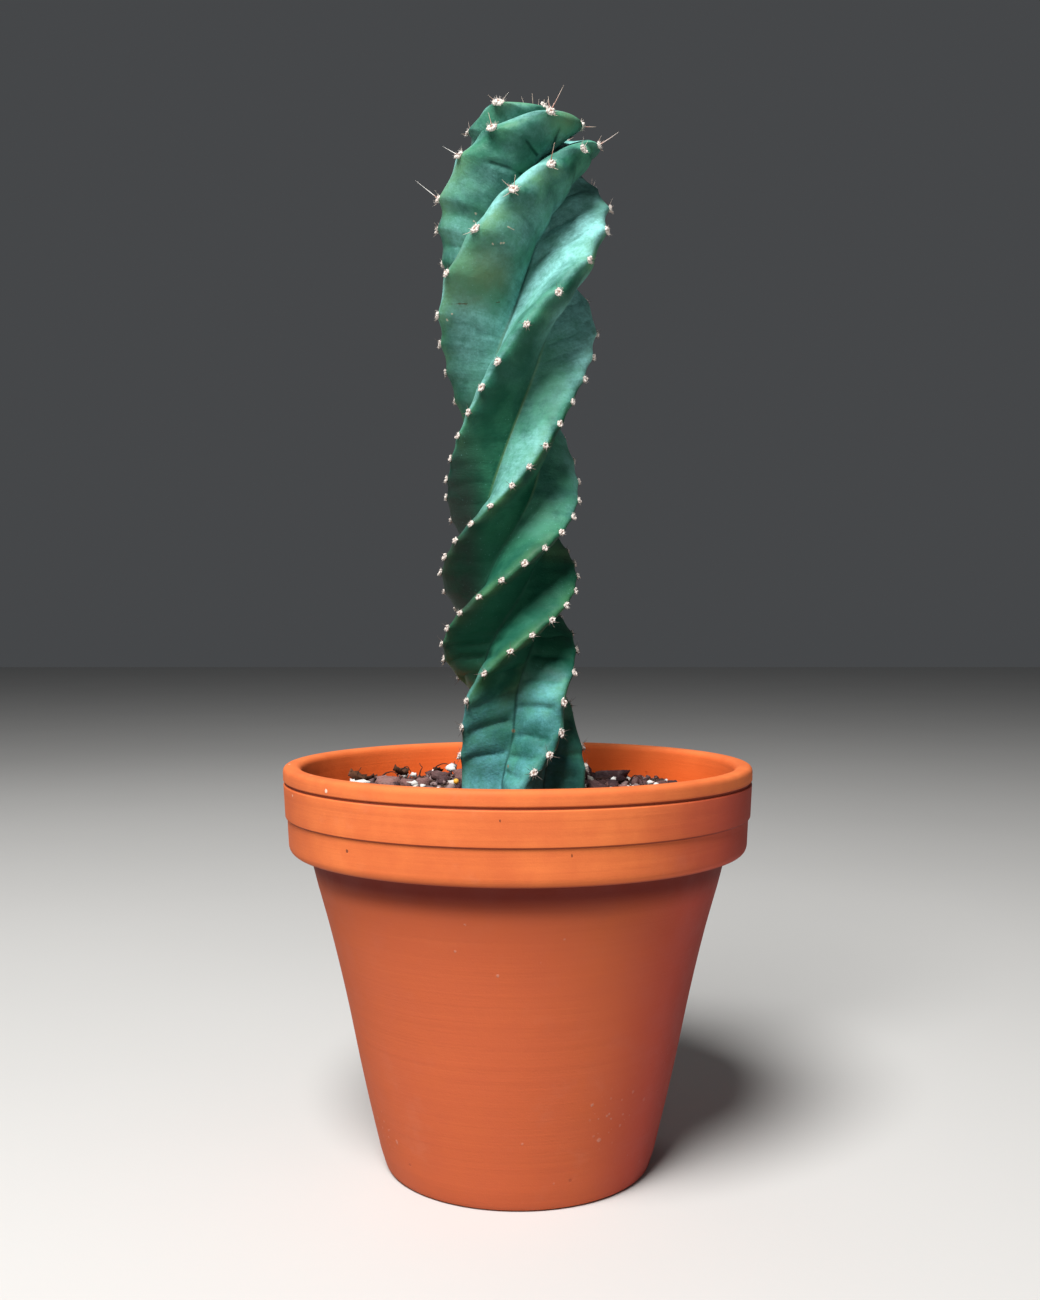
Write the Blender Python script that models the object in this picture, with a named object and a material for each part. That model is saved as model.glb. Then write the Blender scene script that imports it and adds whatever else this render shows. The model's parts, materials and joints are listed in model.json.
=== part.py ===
"""Spiral cactus in a round clay pot: the pot, its potting mix and the stem. Metres, +Z up.

The origin is the middle of the pot's foot, on the surface it stands on, and -Y is the front.
"""

import math
import random
from collections import namedtuple

import bmesh
import bpy
from mathutils import Matrix, Vector

MM = 0.001
GAP = 0.3 * MM

# Clay pot
POT_SEGMENTS = 48
POT_HEIGHT = 181 * MM
FOOT_RADIUS = 58.5 * MM
RIM_RADIUS = 105.2 * MM
DRAIN_RADIUS = 11 * MM
FLOOR_THICKNESS = 9 * MM
# Inner wall from the floor up, as radius and height: floor edge, body, under the rim, at the lip
INNER_WALL = (
    (52.5 * MM, FLOOR_THICKNESS),
    (60.0 * MM, 30 * MM),
    (84.0 * MM, 136 * MM),
    (94.0 * MM, 154 * MM),
    (97.2 * MM, 177.5 * MM),
)

# Potting mix
MIX_LEVEL = 165 * MM
MIX_RINGS = (82 * MM, 66 * MM, 50 * MM, 34 * MM)
MIX_UNEVENNESS = 1.3 * MM
BARK_CHIPS = 22
GRIT_STONES = 20
PERLITE_GRAINS = 14
LUMPS_FROM = 37 * MM
LUMPS_TO = 84 * MM
LUMP_SPACING = 0.75
LUMP_LEAN = 0.35

# Stem: one row for each level where the form changes. Lengths in mm, angles in degrees:
# length along the stem, crest height, lean to the right, tilt, quarter turns, crest and valley
# radius, crest half width, drop of the valley below the crest, and how far the left and the right
# flank of a rib bulge at the valley
Form = namedtuple("Form", "length height lean tilt turns crest valley width drop pinch tuck")
STEM_FORM = (
    Form(128, 128.0, 2.5, 0, 0.00, 14.0, 8.0, 4.5, 0, -8, -8),
    Form(140, 140.0, 2.5, 0, 0.00, 22.5, 11.0, 5.5, 0, -8, -8),
    Form(155, 155.0, 2.5, 0, 0.00, 27.5, 12.5, 5.5, 0, -8, -8),
    Form(172, 172.0, 2.5, 0, 0.00, 28.7, 13.0, 5.5, 0, -8, -8),
    Form(190, 190.0, 1.6, 0, 0.20, 28.5, 13.0, 5.5, 0, -8, -8),
    Form(212, 212.0, -0.6, 0, 0.50, 29.6, 13.0, 5.5, 0, -8, -8),
    Form(231, 231.3, -3.9, 0, 1.00, 30.5, 13.0, 5.5, 0, -8, -8),
    Form(265, 264.7, -3.9, 0, 2.00, 30.9, 13.0, 5.5, 0, -8, -8),
    Form(303, 303.5, -2.3, 0, 3.00, 30.1, 13.0, 5.5, 0, -8, -8),
    Form(333, 333.0, -1.7, 0, 3.50, 30.0, 13.0, 5.5, 2, -8, -8),
    Form(367, 366.8, 0.1, 0, 4.00, 34.7, 13.0, 6.5, 5, -8, 0),
    Form(398, 398.1, 0.4, 1, 4.50, 40.6, 12.5, 9.0, 11, -4, 30),
    Form(431, 430.7, 2.8, 3, 5.00, 38.7, 10.5, 11.5, 11, 6, 56),
    Form(454, 451.5, 5.8, 6, 5.50, 33.2, 10.0, 13.5, 10, 12, 60),
    Form(467, 462.0, 7.2, 7, 6.00, 29.4, 9.5, 14.5, 9, 16, 56),
    Form(475, 468.2, 7.6, 8, 6.50, 25.4, 9.0, 13.5, 9, 18, 50),
    Form(482, 469.6, 7.8, 8, 7.00, 20.0, 7.5, 11.0, 7, 18, 36),
    Form(492, 469.6, 8.0, 8, 7.50, 11.0, 4.5, 6.0, 4, 8, 16),
    Form(503, 466.5, 8.0, 8, 8.00, 0.0, 0.0, 0.0, 0, 0, 0),
)
SOIL_LINE_FORM = 3
RIBS = 4
QUARTER_TURN = math.pi / 2
# Spacing of the modelled levels at each length, closer where the stem turns faster
LEVEL_SPACINGS = ((128, 12), (172, 9), (225, 6.5), (440, 6.5), (462, 3.2), (503, 3.2))
FLANK_STEPS = 4
FLANK_REACH = 0.55
# The front rib stands a little off its place near the mix: degrees at each height in mm
RIB_SWING = ((172, -3), (177, 3.3), (186, 10.7), (196, 14), (204, 8), (212, 0))
# How far the crest dips between two areoles, in mm at each quarter turn
SCALLOPS = ((2.8, 0), (3.5, 1.0), (4.5, 1.9), (6, 2.2), (7, 1.2))
SCALLOPS_FADE_RADIUS = 20
SCALLOP_ROUNDNESS = 0.6
HOLE_CLEARANCE = 0.45
HOLE_CUT_ABOVE_MIX = 20 * MM

# Areoles: how many each rib has grown by each quarter turn
AREOLE_COUNTS = (
    (
        (0, -0.5), (0.045, 0), (0.15, 1), (0.27, 2), (0.45, 3), (1.01, 5),
        (2.94, 14), (3.84, 20), (4.29, 22), (5.04, 25), (5.65, 27), (8, 30),
    ),
    ((0, -0.3), (0.16, 1), (2.05, 9), (2.99, 14), (3.94, 20), (4.14, 21), (5.95, 27), (7.13, 29), (8, 30)),
    ((0, 0.3), (0.88, 4), (2.14, 10), (3.09, 15), (5.02, 26), (5.63, 28), (6.15, 29), (6.97, 30), (8, 31)),
    ((0, -0.7), (0.46, 2), (1.01, 4), (2.01, 9), (4.2, 22), (5.17, 26), (5.78, 28), (6.6, 29), (8, 31)),
)
LOWEST_AREOLE = 174
HIGHEST_AREOLE = 491
AREOLE_STEP = 0.5
# An areole faces away from a point this far below the middle of its level
FACING_DEPTH = 12
CUSHION_SIDES = 5
CUSHION_LENGTH = 2.1
CUSHION_WIDTH = 1.5
CUSHION_RISE = 1.0
CUSHION_ROOT = 2.5
# Spine length in mm at each quarter turn
SPINE_LENGTHS = ((0, 4.0), (3, 4.5), (4, 6.0), (5, 9.0), (7, 10.0), (8, 8.0))
LOWEST_SPINE = 180
PAIRED_SPINES_FROM = 3.5
SPINE_RADIUS = 0.45
SPINE_SPREAD = 0.8
SPINE_ROOT = 2.2


def clear_scene():
    for obj in list(bpy.data.objects):
        bpy.data.objects.remove(obj)


def material(name, colour, roughness):
    made = bpy.data.materials.new(name)
    made.use_nodes = True
    shader = made.node_tree.nodes["Principled BSDF"]
    shader.inputs["Base Color"].default_value = (*colour, 1)
    shader.inputs["Roughness"].default_value = roughness
    return made


def add_object(name, bm, finish=None):
    mesh = bpy.data.meshes.new(name)
    bm.to_mesh(mesh)
    bm.free()
    obj = bpy.data.objects.new(name, mesh)
    bpy.context.scene.collection.objects.link(obj)
    if finish:
        mesh.materials.append(finish)
    return obj


def join_rings(rings, low_point, high_point):
    """A closed body from rings listed upwards, then inwards, each counterclockwise from above."""
    bm = bmesh.new()
    rows = [[bm.verts.new(point) for point in ring] for ring in rings]
    count = len(rows[0])
    for low, high in zip(rows, rows[1:]):
        for i in range(count):
            j = (i + 1) % count
            bm.faces.new((low[i], low[j], high[i]))
            bm.faces.new((low[j], high[j], high[i]))
    low_end = bm.verts.new(low_point)
    high_end = bm.verts.new(high_point)
    for i in range(count):
        j = (i + 1) % count
        bm.faces.new((rows[0][j], rows[0][i], low_end))
        bm.faces.new((rows[-1][i], rows[-1][j], high_end))
    return bm


def apply_boolean(obj, operation, operands):
    """Joins or cuts all the operands in one step, then removes them."""
    group = bpy.data.collections.new(obj.name + "_operands")
    bpy.context.scene.collection.children.link(group)
    for operand in operands:
        bpy.context.scene.collection.objects.unlink(operand)
        group.objects.link(operand)
    modifier = obj.modifiers.new(operation.title(), "BOOLEAN")
    modifier.operation = operation
    modifier.operand_type = "COLLECTION"
    modifier.collection = group
    modifier.solver = "EXACT"
    graph = bpy.context.evaluated_depsgraph_get()
    result = bpy.data.meshes.new_from_object(obj.evaluated_get(graph))
    obj.modifiers.clear()
    obj.data = result
    for operand in operands:
        bpy.data.objects.remove(operand)
    bpy.data.collections.remove(group)


def on_straight_lines(table, at):
    """The value at a place in a table of (place, value) rows, on straight lines between them."""
    if at <= table[0][0]:
        return table[0][1]
    for (x0, y0), (x1, y1) in zip(table, table[1:]):
        if at <= x1:
            return y0 + (y1 - y0) * (at - x0) / (x1 - x0)
    return table[-1][1]


def slopes(places, values):
    """Slopes at the rows that keep a smooth curve through them from overshooting."""
    steps = [b - a for a, b in zip(places, places[1:])]
    rises = [(b - a) / step for a, b, step in zip(values, values[1:], steps)]
    found = [rises[0]]
    for before, after, step, next_step in zip(rises, rises[1:], steps, steps[1:]):
        if before * after <= 0:
            found.append(0.0)
            continue
        near = 2 * next_step + step
        far = next_step + 2 * step
        found.append((near + far) / (near / before + far / after))
    return found + [rises[-1]]


FORM_PLACES = [row.length for row in STEM_FORM]
FORM_SLOPES = [slopes(FORM_PLACES, column) for column in zip(*STEM_FORM)]


def form_at(length):
    """The stem's form at any length along it, on smooth curves through STEM_FORM."""
    last = len(STEM_FORM) - 2
    index = next((i for i, place in enumerate(FORM_PLACES[1:]) if length <= place), last)
    step = FORM_PLACES[index + 1] - FORM_PLACES[index]
    t = (length - FORM_PLACES[index]) / step
    values = []
    for low, high, slope in zip(STEM_FORM[index], STEM_FORM[index + 1], FORM_SLOPES):
        rise = slope[index] * step
        end_rise = slope[index + 1] * step
        cubic = 2 * low - 2 * high + rise + end_rise
        square = -3 * low + 3 * high - 2 * rise - end_rise
        values.append(((cubic * t + square) * t + rise) * t + low)
    return Form(*values)


def rib_angle(form, rib):
    swing = on_straight_lines(RIB_SWING, form.height) if rib % RIBS == 0 else 0
    return QUARTER_TURN * (form.turns + rib) + math.radians(swing)


def areoles_grown(form, rib):
    return on_straight_lines(AREOLE_COUNTS[rib % RIBS], form.turns)


def crest_radius(form, rib):
    """On the upper stem the crest dips a little between one areole and the next."""
    share = 0.5 - 0.5 * math.cos(2 * math.pi * areoles_grown(form, rib))
    depth = on_straight_lines(SCALLOPS, form.turns) * min(form.crest / SCALLOPS_FADE_RADIUS, 1)
    return form.crest - depth * share**SCALLOP_ROUNDNESS


def stem_point(form, angle, radial, across, drop):
    """A point of a level: radial along the rib's mid-line, across it, and down from the crest's plane."""
    tilt = math.radians(form.tilt)
    x = radial * math.sin(angle) + across * math.cos(angle)
    y = -radial * math.cos(angle) + across * math.sin(angle)
    leaned_x = form.lean + x * math.cos(tilt) - drop * math.sin(tilt)
    leaned_z = form.height - x * math.sin(tilt) - drop * math.cos(tilt)
    return Vector((leaned_x, y, leaned_z)) * MM


def flank_point(form, rib, side, step, grow=0.0):
    """A point on one flank of a rib, from the crest at step 0 to the valley at FLANK_STEPS."""
    angle = rib_angle(form, rib)
    half_gap = abs(rib_angle(form, rib + side) - angle) / 2
    crest = crest_radius(form, rib) + grow
    valley = form.valley + grow / math.sin(half_gap)
    bulge = math.radians(form.tuck if side > 0 else form.pinch)
    reach = FLANK_REACH * (crest - valley)
    valley_radial = valley * math.cos(half_gap)
    valley_across = valley * math.sin(half_gap)
    pull_radial = valley_radial + reach * math.cos(bulge)
    pull_across = valley_across + reach * math.sin(bulge)
    t = step / FLANK_STEPS
    weights = ((1 - t) ** 3, 3 * t * (1 - t) ** 2, 3 * t * t * (1 - t), t**3)
    radial = sum(w * r for w, r in zip(weights, (crest, crest, pull_radial, valley_radial)))
    across = sum(w * a for w, a in zip(weights, (0, form.width + grow, pull_across, valley_across)))
    inwards = (crest - radial) / (crest - valley_radial)
    return stem_point(form, angle, radial, side * across, form.drop * inwards)


def stem_ring(form, grow=0.0):
    """The points round a level, counterclockwise from above: for each rib, both its flanks."""
    ring = []
    for rib in range(RIBS):
        ring += [flank_point(form, rib, -1, step, grow) for step in range(FLANK_STEPS, 0, -1)]
        ring += [flank_point(form, rib, 1, step, grow) for step in range(FLANK_STEPS)]
    return ring


def pot_profile():
    """The pot's closed outline as (radius, height), down the outside and up the inside."""
    lip = [(101 * MM, POT_HEIGHT), (103.6 * MM, 180.3 * MM), (RIM_RADIUS, 178 * MM), (RIM_RADIUS, 175 * MM)]
    groove = [(104.0 * MM, 174.2 * MM), (103.9 * MM, 173.2 * MM), (104.8 * MM, 172.2 * MM)]
    bands = [(104.3 * MM, 159.2 * MM), (103.3 * MM, 158.2 * MM), (102.6 * MM, 151 * MM)]
    under_rim = [(101.0 * MM, 147 * MM), (97.6 * MM, 144 * MM), (93.6 * MM, 142.3 * MM)]
    body = [(91.6 * MM, 134 * MM), (84.9 * MM, 110 * MM), (77.9 * MM, 80 * MM), (67.3 * MM, 30 * MM)]
    foot = [(62.4 * MM, 9 * MM), (60.6 * MM, 2 * MM), (FOOT_RADIUS, 0)]
    drain = [(DRAIN_RADIUS, 0), (DRAIN_RADIUS, FLOOR_THICKNESS)]
    inner_lip = [(98.6 * MM, 180.2 * MM)]
    return lip + groove + bands + under_rim + body + foot + drain + list(INNER_WALL) + inner_lip


def make_pot():
    bm = bmesh.new()
    verts = [bm.verts.new((radius, 0, height)) for radius, height in pot_profile()]
    for start, end in zip(verts, verts[1:] + verts[:1]):
        bm.edges.new((start, end))
    pot = add_object("pot", bm, material("terracotta", (0.72, 0.27, 0.10), 0.75))
    turn = pot.modifiers.new("Turn", "SCREW")
    turn.steps = POT_SEGMENTS
    turn.render_steps = POT_SEGMENTS
    turn.use_merge_vertices = True
    turn.merge_threshold = 0.00001
    return pot


def circle(radius, height, rng=None):
    """A ring of points in step with the pot's segments, at uneven heights if rng is given."""
    points = []
    for i in range(POT_SEGMENTS):
        angle = 2 * math.pi * i / POT_SEGMENTS
        lift = rng.uniform(-MIX_UNEVENNESS, MIX_UNEVENNESS) if rng else 0
        points.append((radius * math.cos(angle), radius * math.sin(angle), height + lift))
    return points


def lump_shapes(rng):
    """(is it a chip, length, width, height) of each lump: bark chips, grit and perlite."""
    for _ in range(BARK_CHIPS):
        yield True, rng.uniform(15, 20) * MM, rng.uniform(9, 12) * MM, rng.uniform(8, 11) * MM
    for _ in range(GRIT_STONES):
        side = rng.uniform(8, 11) * MM
        yield False, side, side * rng.uniform(0.75, 1), side * rng.uniform(0.7, 0.9)
    for _ in range(PERLITE_GRAINS):
        side = rng.uniform(6, 8) * MM
        yield True, side, side * rng.uniform(0.8, 1), side


def add_lump(name, rng, place, chip, size):
    """A broken piece of mix: a box or a ball with uneven corners, turned, leant and half sunk."""
    bm = bmesh.new()
    if chip:
        bmesh.ops.create_cube(bm, size=0.75)
        bmesh.ops.triangulate(bm, faces=bm.faces)
    else:
        bmesh.ops.create_icosphere(bm, subdivisions=1, radius=0.5)
    for vert in bm.verts:
        vert.co *= rng.uniform(0.8, 1.15)
    turned = Matrix.Rotation(rng.uniform(0, math.pi), 4, "Z")
    leant = Matrix.Rotation(rng.uniform(-LUMP_LEAN, LUMP_LEAN), 4, "X")
    scaled = Matrix.Diagonal((*size, 1))
    bmesh.ops.transform(bm, matrix=Matrix.Translation(place) @ turned @ leant @ scaled, verts=bm.verts)
    return add_object(name, bm)


def free_place(rng, taken, reach):
    """A random place on the mix that keeps its distance from the lumps already there."""
    for _ in range(400):
        radius = math.sqrt(rng.uniform(LUMPS_FROM**2, LUMPS_TO**2))
        angle = rng.uniform(0, 2 * math.pi)
        spot = Vector((radius * math.cos(angle), radius * math.sin(angle), MIX_LEVEL))
        if all((spot - other).length > LUMP_SPACING * (reach + near) for other, near in taken):
            return spot
    return None


def make_mix(stem_hole):
    rng = random.Random(7)
    wall = [circle(radius - GAP, max(height, FLOOR_THICKNESS + GAP)) for radius, height in INNER_WALL[:-1]]
    edge_radius = on_straight_lines([(height, radius) for radius, height in INNER_WALL], MIX_LEVEL) - GAP
    top = [circle(edge_radius, MIX_LEVEL)] + [circle(radius, MIX_LEVEL, rng) for radius in MIX_RINGS]
    bm = join_rings(wall + top, (0, 0, FLOOR_THICKNESS + GAP), (0, 0, MIX_LEVEL))
    mix = add_object("potting_mix", bm, material("potting_mix", (0.10, 0.07, 0.05), 0.95))
    taken = []
    lumps = []
    for number, (chip, *size) in enumerate(lump_shapes(rng)):
        reach = (size[0] + size[1]) / 4
        spot = free_place(rng, taken, reach)
        if spot is None:
            continue
        taken.append((spot, reach))
        raised = spot + Vector((0, 0, rng.uniform(0.05, 0.2) * size[2]))
        lumps.append(add_lump(f"lump_{number}", rng, raised, chip, size))
    apply_boolean(mix, "UNION", lumps)
    apply_boolean(mix, "DIFFERENCE", [stem_hole])
    return mix


def make_stem_hole():
    """The straight hole that the buried stem stands in, a little wider than the stem all round."""
    form = STEM_FORM[SOIL_LINE_FORM]
    bottom = STEM_FORM[0].height * MM - GAP
    top = MIX_LEVEL + HOLE_CUT_ABOVE_MIX
    ring = stem_ring(form, HOLE_CLEARANCE)
    rings = [[(point.x, point.y, height) for point in ring] for height in (bottom, top)]
    centre = form.lean * MM
    return add_object("stem_hole", join_rings(rings, (centre, 0, bottom), (centre, 0, top)))


def areoles():
    """Each areole as (form, rib): where a rib's running count of areoles reaches a whole number."""
    found = []
    for rib in range(RIBS):
        length = LOWEST_AREOLE
        form = form_at(length)
        while length < HIGHEST_AREOLE:
            length += AREOLE_STEP
            above = form_at(length)
            if math.floor(areoles_grown(above, rib)) > math.floor(areoles_grown(form, rib)):
                found.append((above, rib))
            form = above
    return found


def areole_frame(form, rib):
    """Place, direction along the crest, direction across it and outward direction."""
    place = flank_point(form, rib, 1, 0)
    above = flank_point(form_at(form.length + 1), rib, 1, 0)
    along = (above - place).normalized()
    outward = place - stem_point(form, 0, 0, 0, FACING_DEPTH)
    outward = (outward - along * outward.dot(along)).normalized()
    return place, along, outward.cross(along), outward


def add_cushion(name, place, along, across, outward):
    """The felt pad of an areole: a low faceted dome, its root sunk into the crest."""
    bm = bmesh.new()
    ring = []
    for i in range(CUSHION_SIDES):
        angle = 2 * math.pi * i / CUSHION_SIDES
        offset = along * (CUSHION_LENGTH * math.cos(angle)) + across * (CUSHION_WIDTH * math.sin(angle))
        ring.append(bm.verts.new(place + offset * MM))
    top = bm.verts.new(place + outward * CUSHION_RISE * MM)
    bottom = bm.verts.new(place - outward * CUSHION_ROOT * MM)
    for start, end in zip(ring, ring[1:] + ring[:1]):
        bm.faces.new((start, end, top))
        bm.faces.new((end, start, bottom))
    return add_object(name, bm)


def add_spine(name, root, direction, length):
    """A three-sided needle, its root sunk into the crest."""
    bm = bmesh.new()
    side = direction.orthogonal().normalized()
    other = direction.cross(side)
    start = root - direction * SPINE_ROOT * MM
    ring = []
    for i in range(3):
        angle = 2 * math.pi * i / 3
        offset = side * math.cos(angle) + other * math.sin(angle)
        ring.append(bm.verts.new(start + offset * SPINE_RADIUS * MM))
    tip = bm.verts.new(root + direction * length * MM)
    bm.faces.new((ring[2], ring[1], ring[0]))
    for i in range(3):
        bm.faces.new((ring[i], ring[(i + 1) % 3], tip))
    return add_object(name, bm)


def add_spines(number, rng, form, frame):
    """One spine on each lower areole and a pair on each upper one, spread to random sides."""
    place, along, across, outward = frame
    length = on_straight_lines(SPINE_LENGTHS, form.turns)
    first_turn = rng.uniform(0, 2 * math.pi)
    count = 2 if form.turns > PAIRED_SPINES_FROM else 1
    spines = []
    for i in range(count):
        turn = first_turn + 2 * math.pi * i / count
        sideways = along * math.cos(turn) + across * math.sin(turn)
        direction = (outward + sideways * rng.uniform(0.6, 1.1)).normalized()
        root = place + sideways * SPINE_SPREAD * MM
        spines.append(add_spine(f"spine_{number}_{i}", root, direction, length * rng.uniform(0.75, 1.1)))
    return spines


def level_lengths():
    lengths = [STEM_FORM[0].length]
    while lengths[-1] < STEM_FORM[-1].length:
        lengths.append(lengths[-1] + on_straight_lines(LEVEL_SPACINGS, lengths[-1]))
    return lengths[:-1]


def make_stem():
    rng = random.Random(11)
    rings = [stem_ring(form_at(length)) for length in level_lengths()]
    low = stem_point(STEM_FORM[0], 0, 0, 0, 0)
    high = stem_point(STEM_FORM[-1], 0, 0, 0, 0)
    finish = material("stem_skin", (0.10, 0.30, 0.22), 0.45)
    stem = add_object("cactus_stem", join_rings(rings, low, high), finish)
    growths = []
    for number, (form, rib) in enumerate(areoles()):
        frame = areole_frame(form, rib)
        growths.append(add_cushion(f"cushion_{number}", *frame))
        if form.height > LOWEST_SPINE:
            growths += add_spines(number, rng, form, frame)
    apply_boolean(stem, "UNION", growths)
    return stem


clear_scene()
make_pot()
make_mix(make_stem_hole())
make_stem()
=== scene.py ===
"""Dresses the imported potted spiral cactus: stem skin, felt pads, spines, clay pot and potting mix.

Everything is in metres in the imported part's frame: +Z up, -Y to the front, the foot's middle at 0.
"""

import json
import math
import random
from collections import namedtuple

import bmesh
import bpy
from bpy.props import FloatProperty, FloatVectorProperty, IntProperty, PointerProperty
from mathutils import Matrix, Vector, noise

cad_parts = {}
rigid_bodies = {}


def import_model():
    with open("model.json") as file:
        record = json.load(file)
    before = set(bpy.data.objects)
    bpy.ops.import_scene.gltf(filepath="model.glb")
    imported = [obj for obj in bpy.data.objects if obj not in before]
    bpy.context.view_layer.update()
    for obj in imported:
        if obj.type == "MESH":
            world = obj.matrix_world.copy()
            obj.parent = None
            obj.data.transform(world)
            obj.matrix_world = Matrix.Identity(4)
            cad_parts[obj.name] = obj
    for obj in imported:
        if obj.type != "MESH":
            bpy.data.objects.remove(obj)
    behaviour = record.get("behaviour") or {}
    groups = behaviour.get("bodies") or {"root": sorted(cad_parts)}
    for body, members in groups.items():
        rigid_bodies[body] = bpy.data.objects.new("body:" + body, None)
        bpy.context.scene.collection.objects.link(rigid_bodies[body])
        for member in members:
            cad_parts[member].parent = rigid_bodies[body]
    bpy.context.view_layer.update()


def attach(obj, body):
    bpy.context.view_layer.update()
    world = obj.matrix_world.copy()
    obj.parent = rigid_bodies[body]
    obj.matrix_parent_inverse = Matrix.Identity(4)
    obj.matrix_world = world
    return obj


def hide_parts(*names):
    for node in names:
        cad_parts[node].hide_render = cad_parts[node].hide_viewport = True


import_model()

bl_info = {
    "name": "Potted Spiral Cactus",
    "version": (1, 0, 0),
    "blender": (4, 5, 0),
    "location": "3D View > Sidebar > Cactus",
    "description": "Makes a spiral cactus with its felt pads, spines, clay pot and potting mix",
    "category": "Add Mesh",
}

MM = 0.001
FULL_TURN = 2 * math.pi
BODY = "root"

# Stem, as the part has it: lengths in mm, angles in degrees, turns in quarter turns
Form = namedtuple("Form", "length height lean tilt turns crest valley width drop pinch tuck")
STEM_FORM = (
    Form(128, 128.0, 2.5, 0, 0.00, 14.0, 8.0, 4.5, 0, -8, -8),
    Form(140, 140.0, 2.5, 0, 0.00, 22.5, 11.0, 5.5, 0, -8, -8),
    Form(155, 155.0, 2.5, 0, 0.00, 27.5, 12.5, 5.5, 0, -8, -8),
    Form(172, 172.0, 2.5, 0, 0.00, 28.7, 13.0, 5.5, 0, -8, -8),
    Form(190, 190.0, 1.6, 0, 0.20, 28.5, 13.0, 5.5, 0, -8, -8),
    Form(212, 212.0, -0.6, 0, 0.50, 29.6, 13.0, 5.5, 0, -8, -8),
    Form(231, 231.3, -3.9, 0, 1.00, 30.5, 13.0, 5.5, 0, -8, -8),
    Form(265, 264.7, -3.9, 0, 2.00, 30.9, 13.0, 5.5, 0, -8, -8),
    Form(303, 303.5, -2.3, 0, 3.00, 30.1, 13.0, 5.5, 0, -8, -8),
    Form(333, 333.0, -1.7, 0, 3.50, 30.0, 13.0, 5.5, 2, -8, -8),
    Form(367, 366.8, 0.1, 0, 4.00, 34.7, 13.0, 6.5, 5, -8, 0),
    Form(398, 398.1, 0.4, 1, 4.50, 40.6, 12.5, 9.0, 11, -4, 30),
    Form(431, 430.7, 2.8, 3, 5.00, 38.7, 10.5, 11.5, 11, 6, 56),
    Form(454, 451.5, 5.8, 6, 5.50, 33.2, 10.0, 13.5, 10, 12, 60),
    Form(467, 462.0, 7.2, 7, 6.00, 29.4, 9.5, 14.5, 9, 16, 56),
    Form(475, 468.2, 7.6, 8, 6.50, 25.4, 9.0, 13.5, 9, 18, 50),
    Form(482, 469.6, 7.8, 8, 7.00, 20.0, 7.5, 11.0, 7, 18, 36),
    Form(492, 469.6, 8.0, 8, 7.50, 11.0, 4.5, 6.0, 4, 8, 16),
    Form(503, 466.5, 8.0, 8, 8.00, 0.0, 0.0, 0.0, 0, 0, 0),
)
RIBS = 4
QUARTER_TURN = math.pi / 2
FLANK_REACH = 0.55
RIB_SWING = ((172, -3), (177, 3.3), (186, 10.7), (196, 14), (204, 8), (212, 0))
# How many areoles each rib has grown by each quarter turn
AREOLE_COUNTS = (
    (
        (0, -0.5), (0.045, 0), (0.15, 1), (0.27, 2), (0.45, 3), (1.01, 5),
        (2.94, 14), (3.84, 20), (4.29, 22), (5.04, 25), (5.65, 27), (8, 30),
    ),
    ((0, -0.3), (0.16, 1), (2.05, 9), (2.99, 14), (3.94, 20), (4.14, 21), (5.95, 27), (7.13, 29), (8, 30)),
    ((0, 0.3), (0.88, 4), (2.14, 10), (3.09, 15), (5.02, 26), (5.63, 28), (6.15, 29), (6.97, 30), (8, 31)),
    ((0, -0.7), (0.46, 2), (1.01, 4), (2.01, 9), (4.2, 22), (5.17, 26), (5.78, 28), (6.6, 29), (8, 31)),
)
LOWEST_AREOLE = 171
HIGHEST_AREOLE = 493
AREOLE_STEP = 0.25
FACING_DEPTH = 12
SKIN_FROM = 150
# Spacing in mm of the skin's levels at each length, closer where the stem turns faster
LEVEL_SPACINGS = ((150, 0.95), (440, 0.85), (462, 0.45), (503, 0.3))
HALF_RIB_COLUMNS = 22
MERGE_DISTANCE = 0.00001
# How far the crest dips between two areoles, in mm at each quarter turn
SCALLOPS = ((0, 0.9), (2.5, 0.7), (3.5, 1.0), (4.5, 1.8), (5, 2.2), (6, 2.4), (7, 1.3))


def on_straight_lines(table, at):
    """The value at a place in a table of (place, value) rows, on straight lines between them."""
    if at <= table[0][0]:
        return table[0][1]
    for (x0, y0), (x1, y1) in zip(table, table[1:]):
        if at <= x1:
            return y0 + (y1 - y0) * (at - x0) / (x1 - x0)
    return table[-1][1]


def slopes(places, values):
    """Slopes at the rows that keep a smooth curve through them from overshooting."""
    steps = [b - a for a, b in zip(places, places[1:])]
    rises = [(b - a) / step for a, b, step in zip(values, values[1:], steps)]
    found = [rises[0]]
    for before, after, step, next_step in zip(rises, rises[1:], steps, steps[1:]):
        if before * after <= 0:
            found.append(0.0)
            continue
        near = 2 * next_step + step
        far = next_step + 2 * step
        found.append((near + far) / (near / before + far / after))
    return found + [rises[-1]]


FORM_PLACES = [row.length for row in STEM_FORM]
FORM_SLOPES = [slopes(FORM_PLACES, column) for column in zip(*STEM_FORM)]


def form_at(length):
    """The stem's form at any length along it, on smooth curves through STEM_FORM."""
    last = len(STEM_FORM) - 2
    index = next((i for i, place in enumerate(FORM_PLACES[1:]) if length <= place), last)
    step = FORM_PLACES[index + 1] - FORM_PLACES[index]
    t = (length - FORM_PLACES[index]) / step
    values = []
    for low, high, slope in zip(STEM_FORM[index], STEM_FORM[index + 1], FORM_SLOPES):
        rise = slope[index] * step
        end_rise = slope[index + 1] * step
        cubic = 2 * low - 2 * high + rise + end_rise
        square = -3 * low + 3 * high - 2 * rise - end_rise
        values.append(((cubic * t + square) * t + rise) * t + low)
    return Form(*values)


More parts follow.
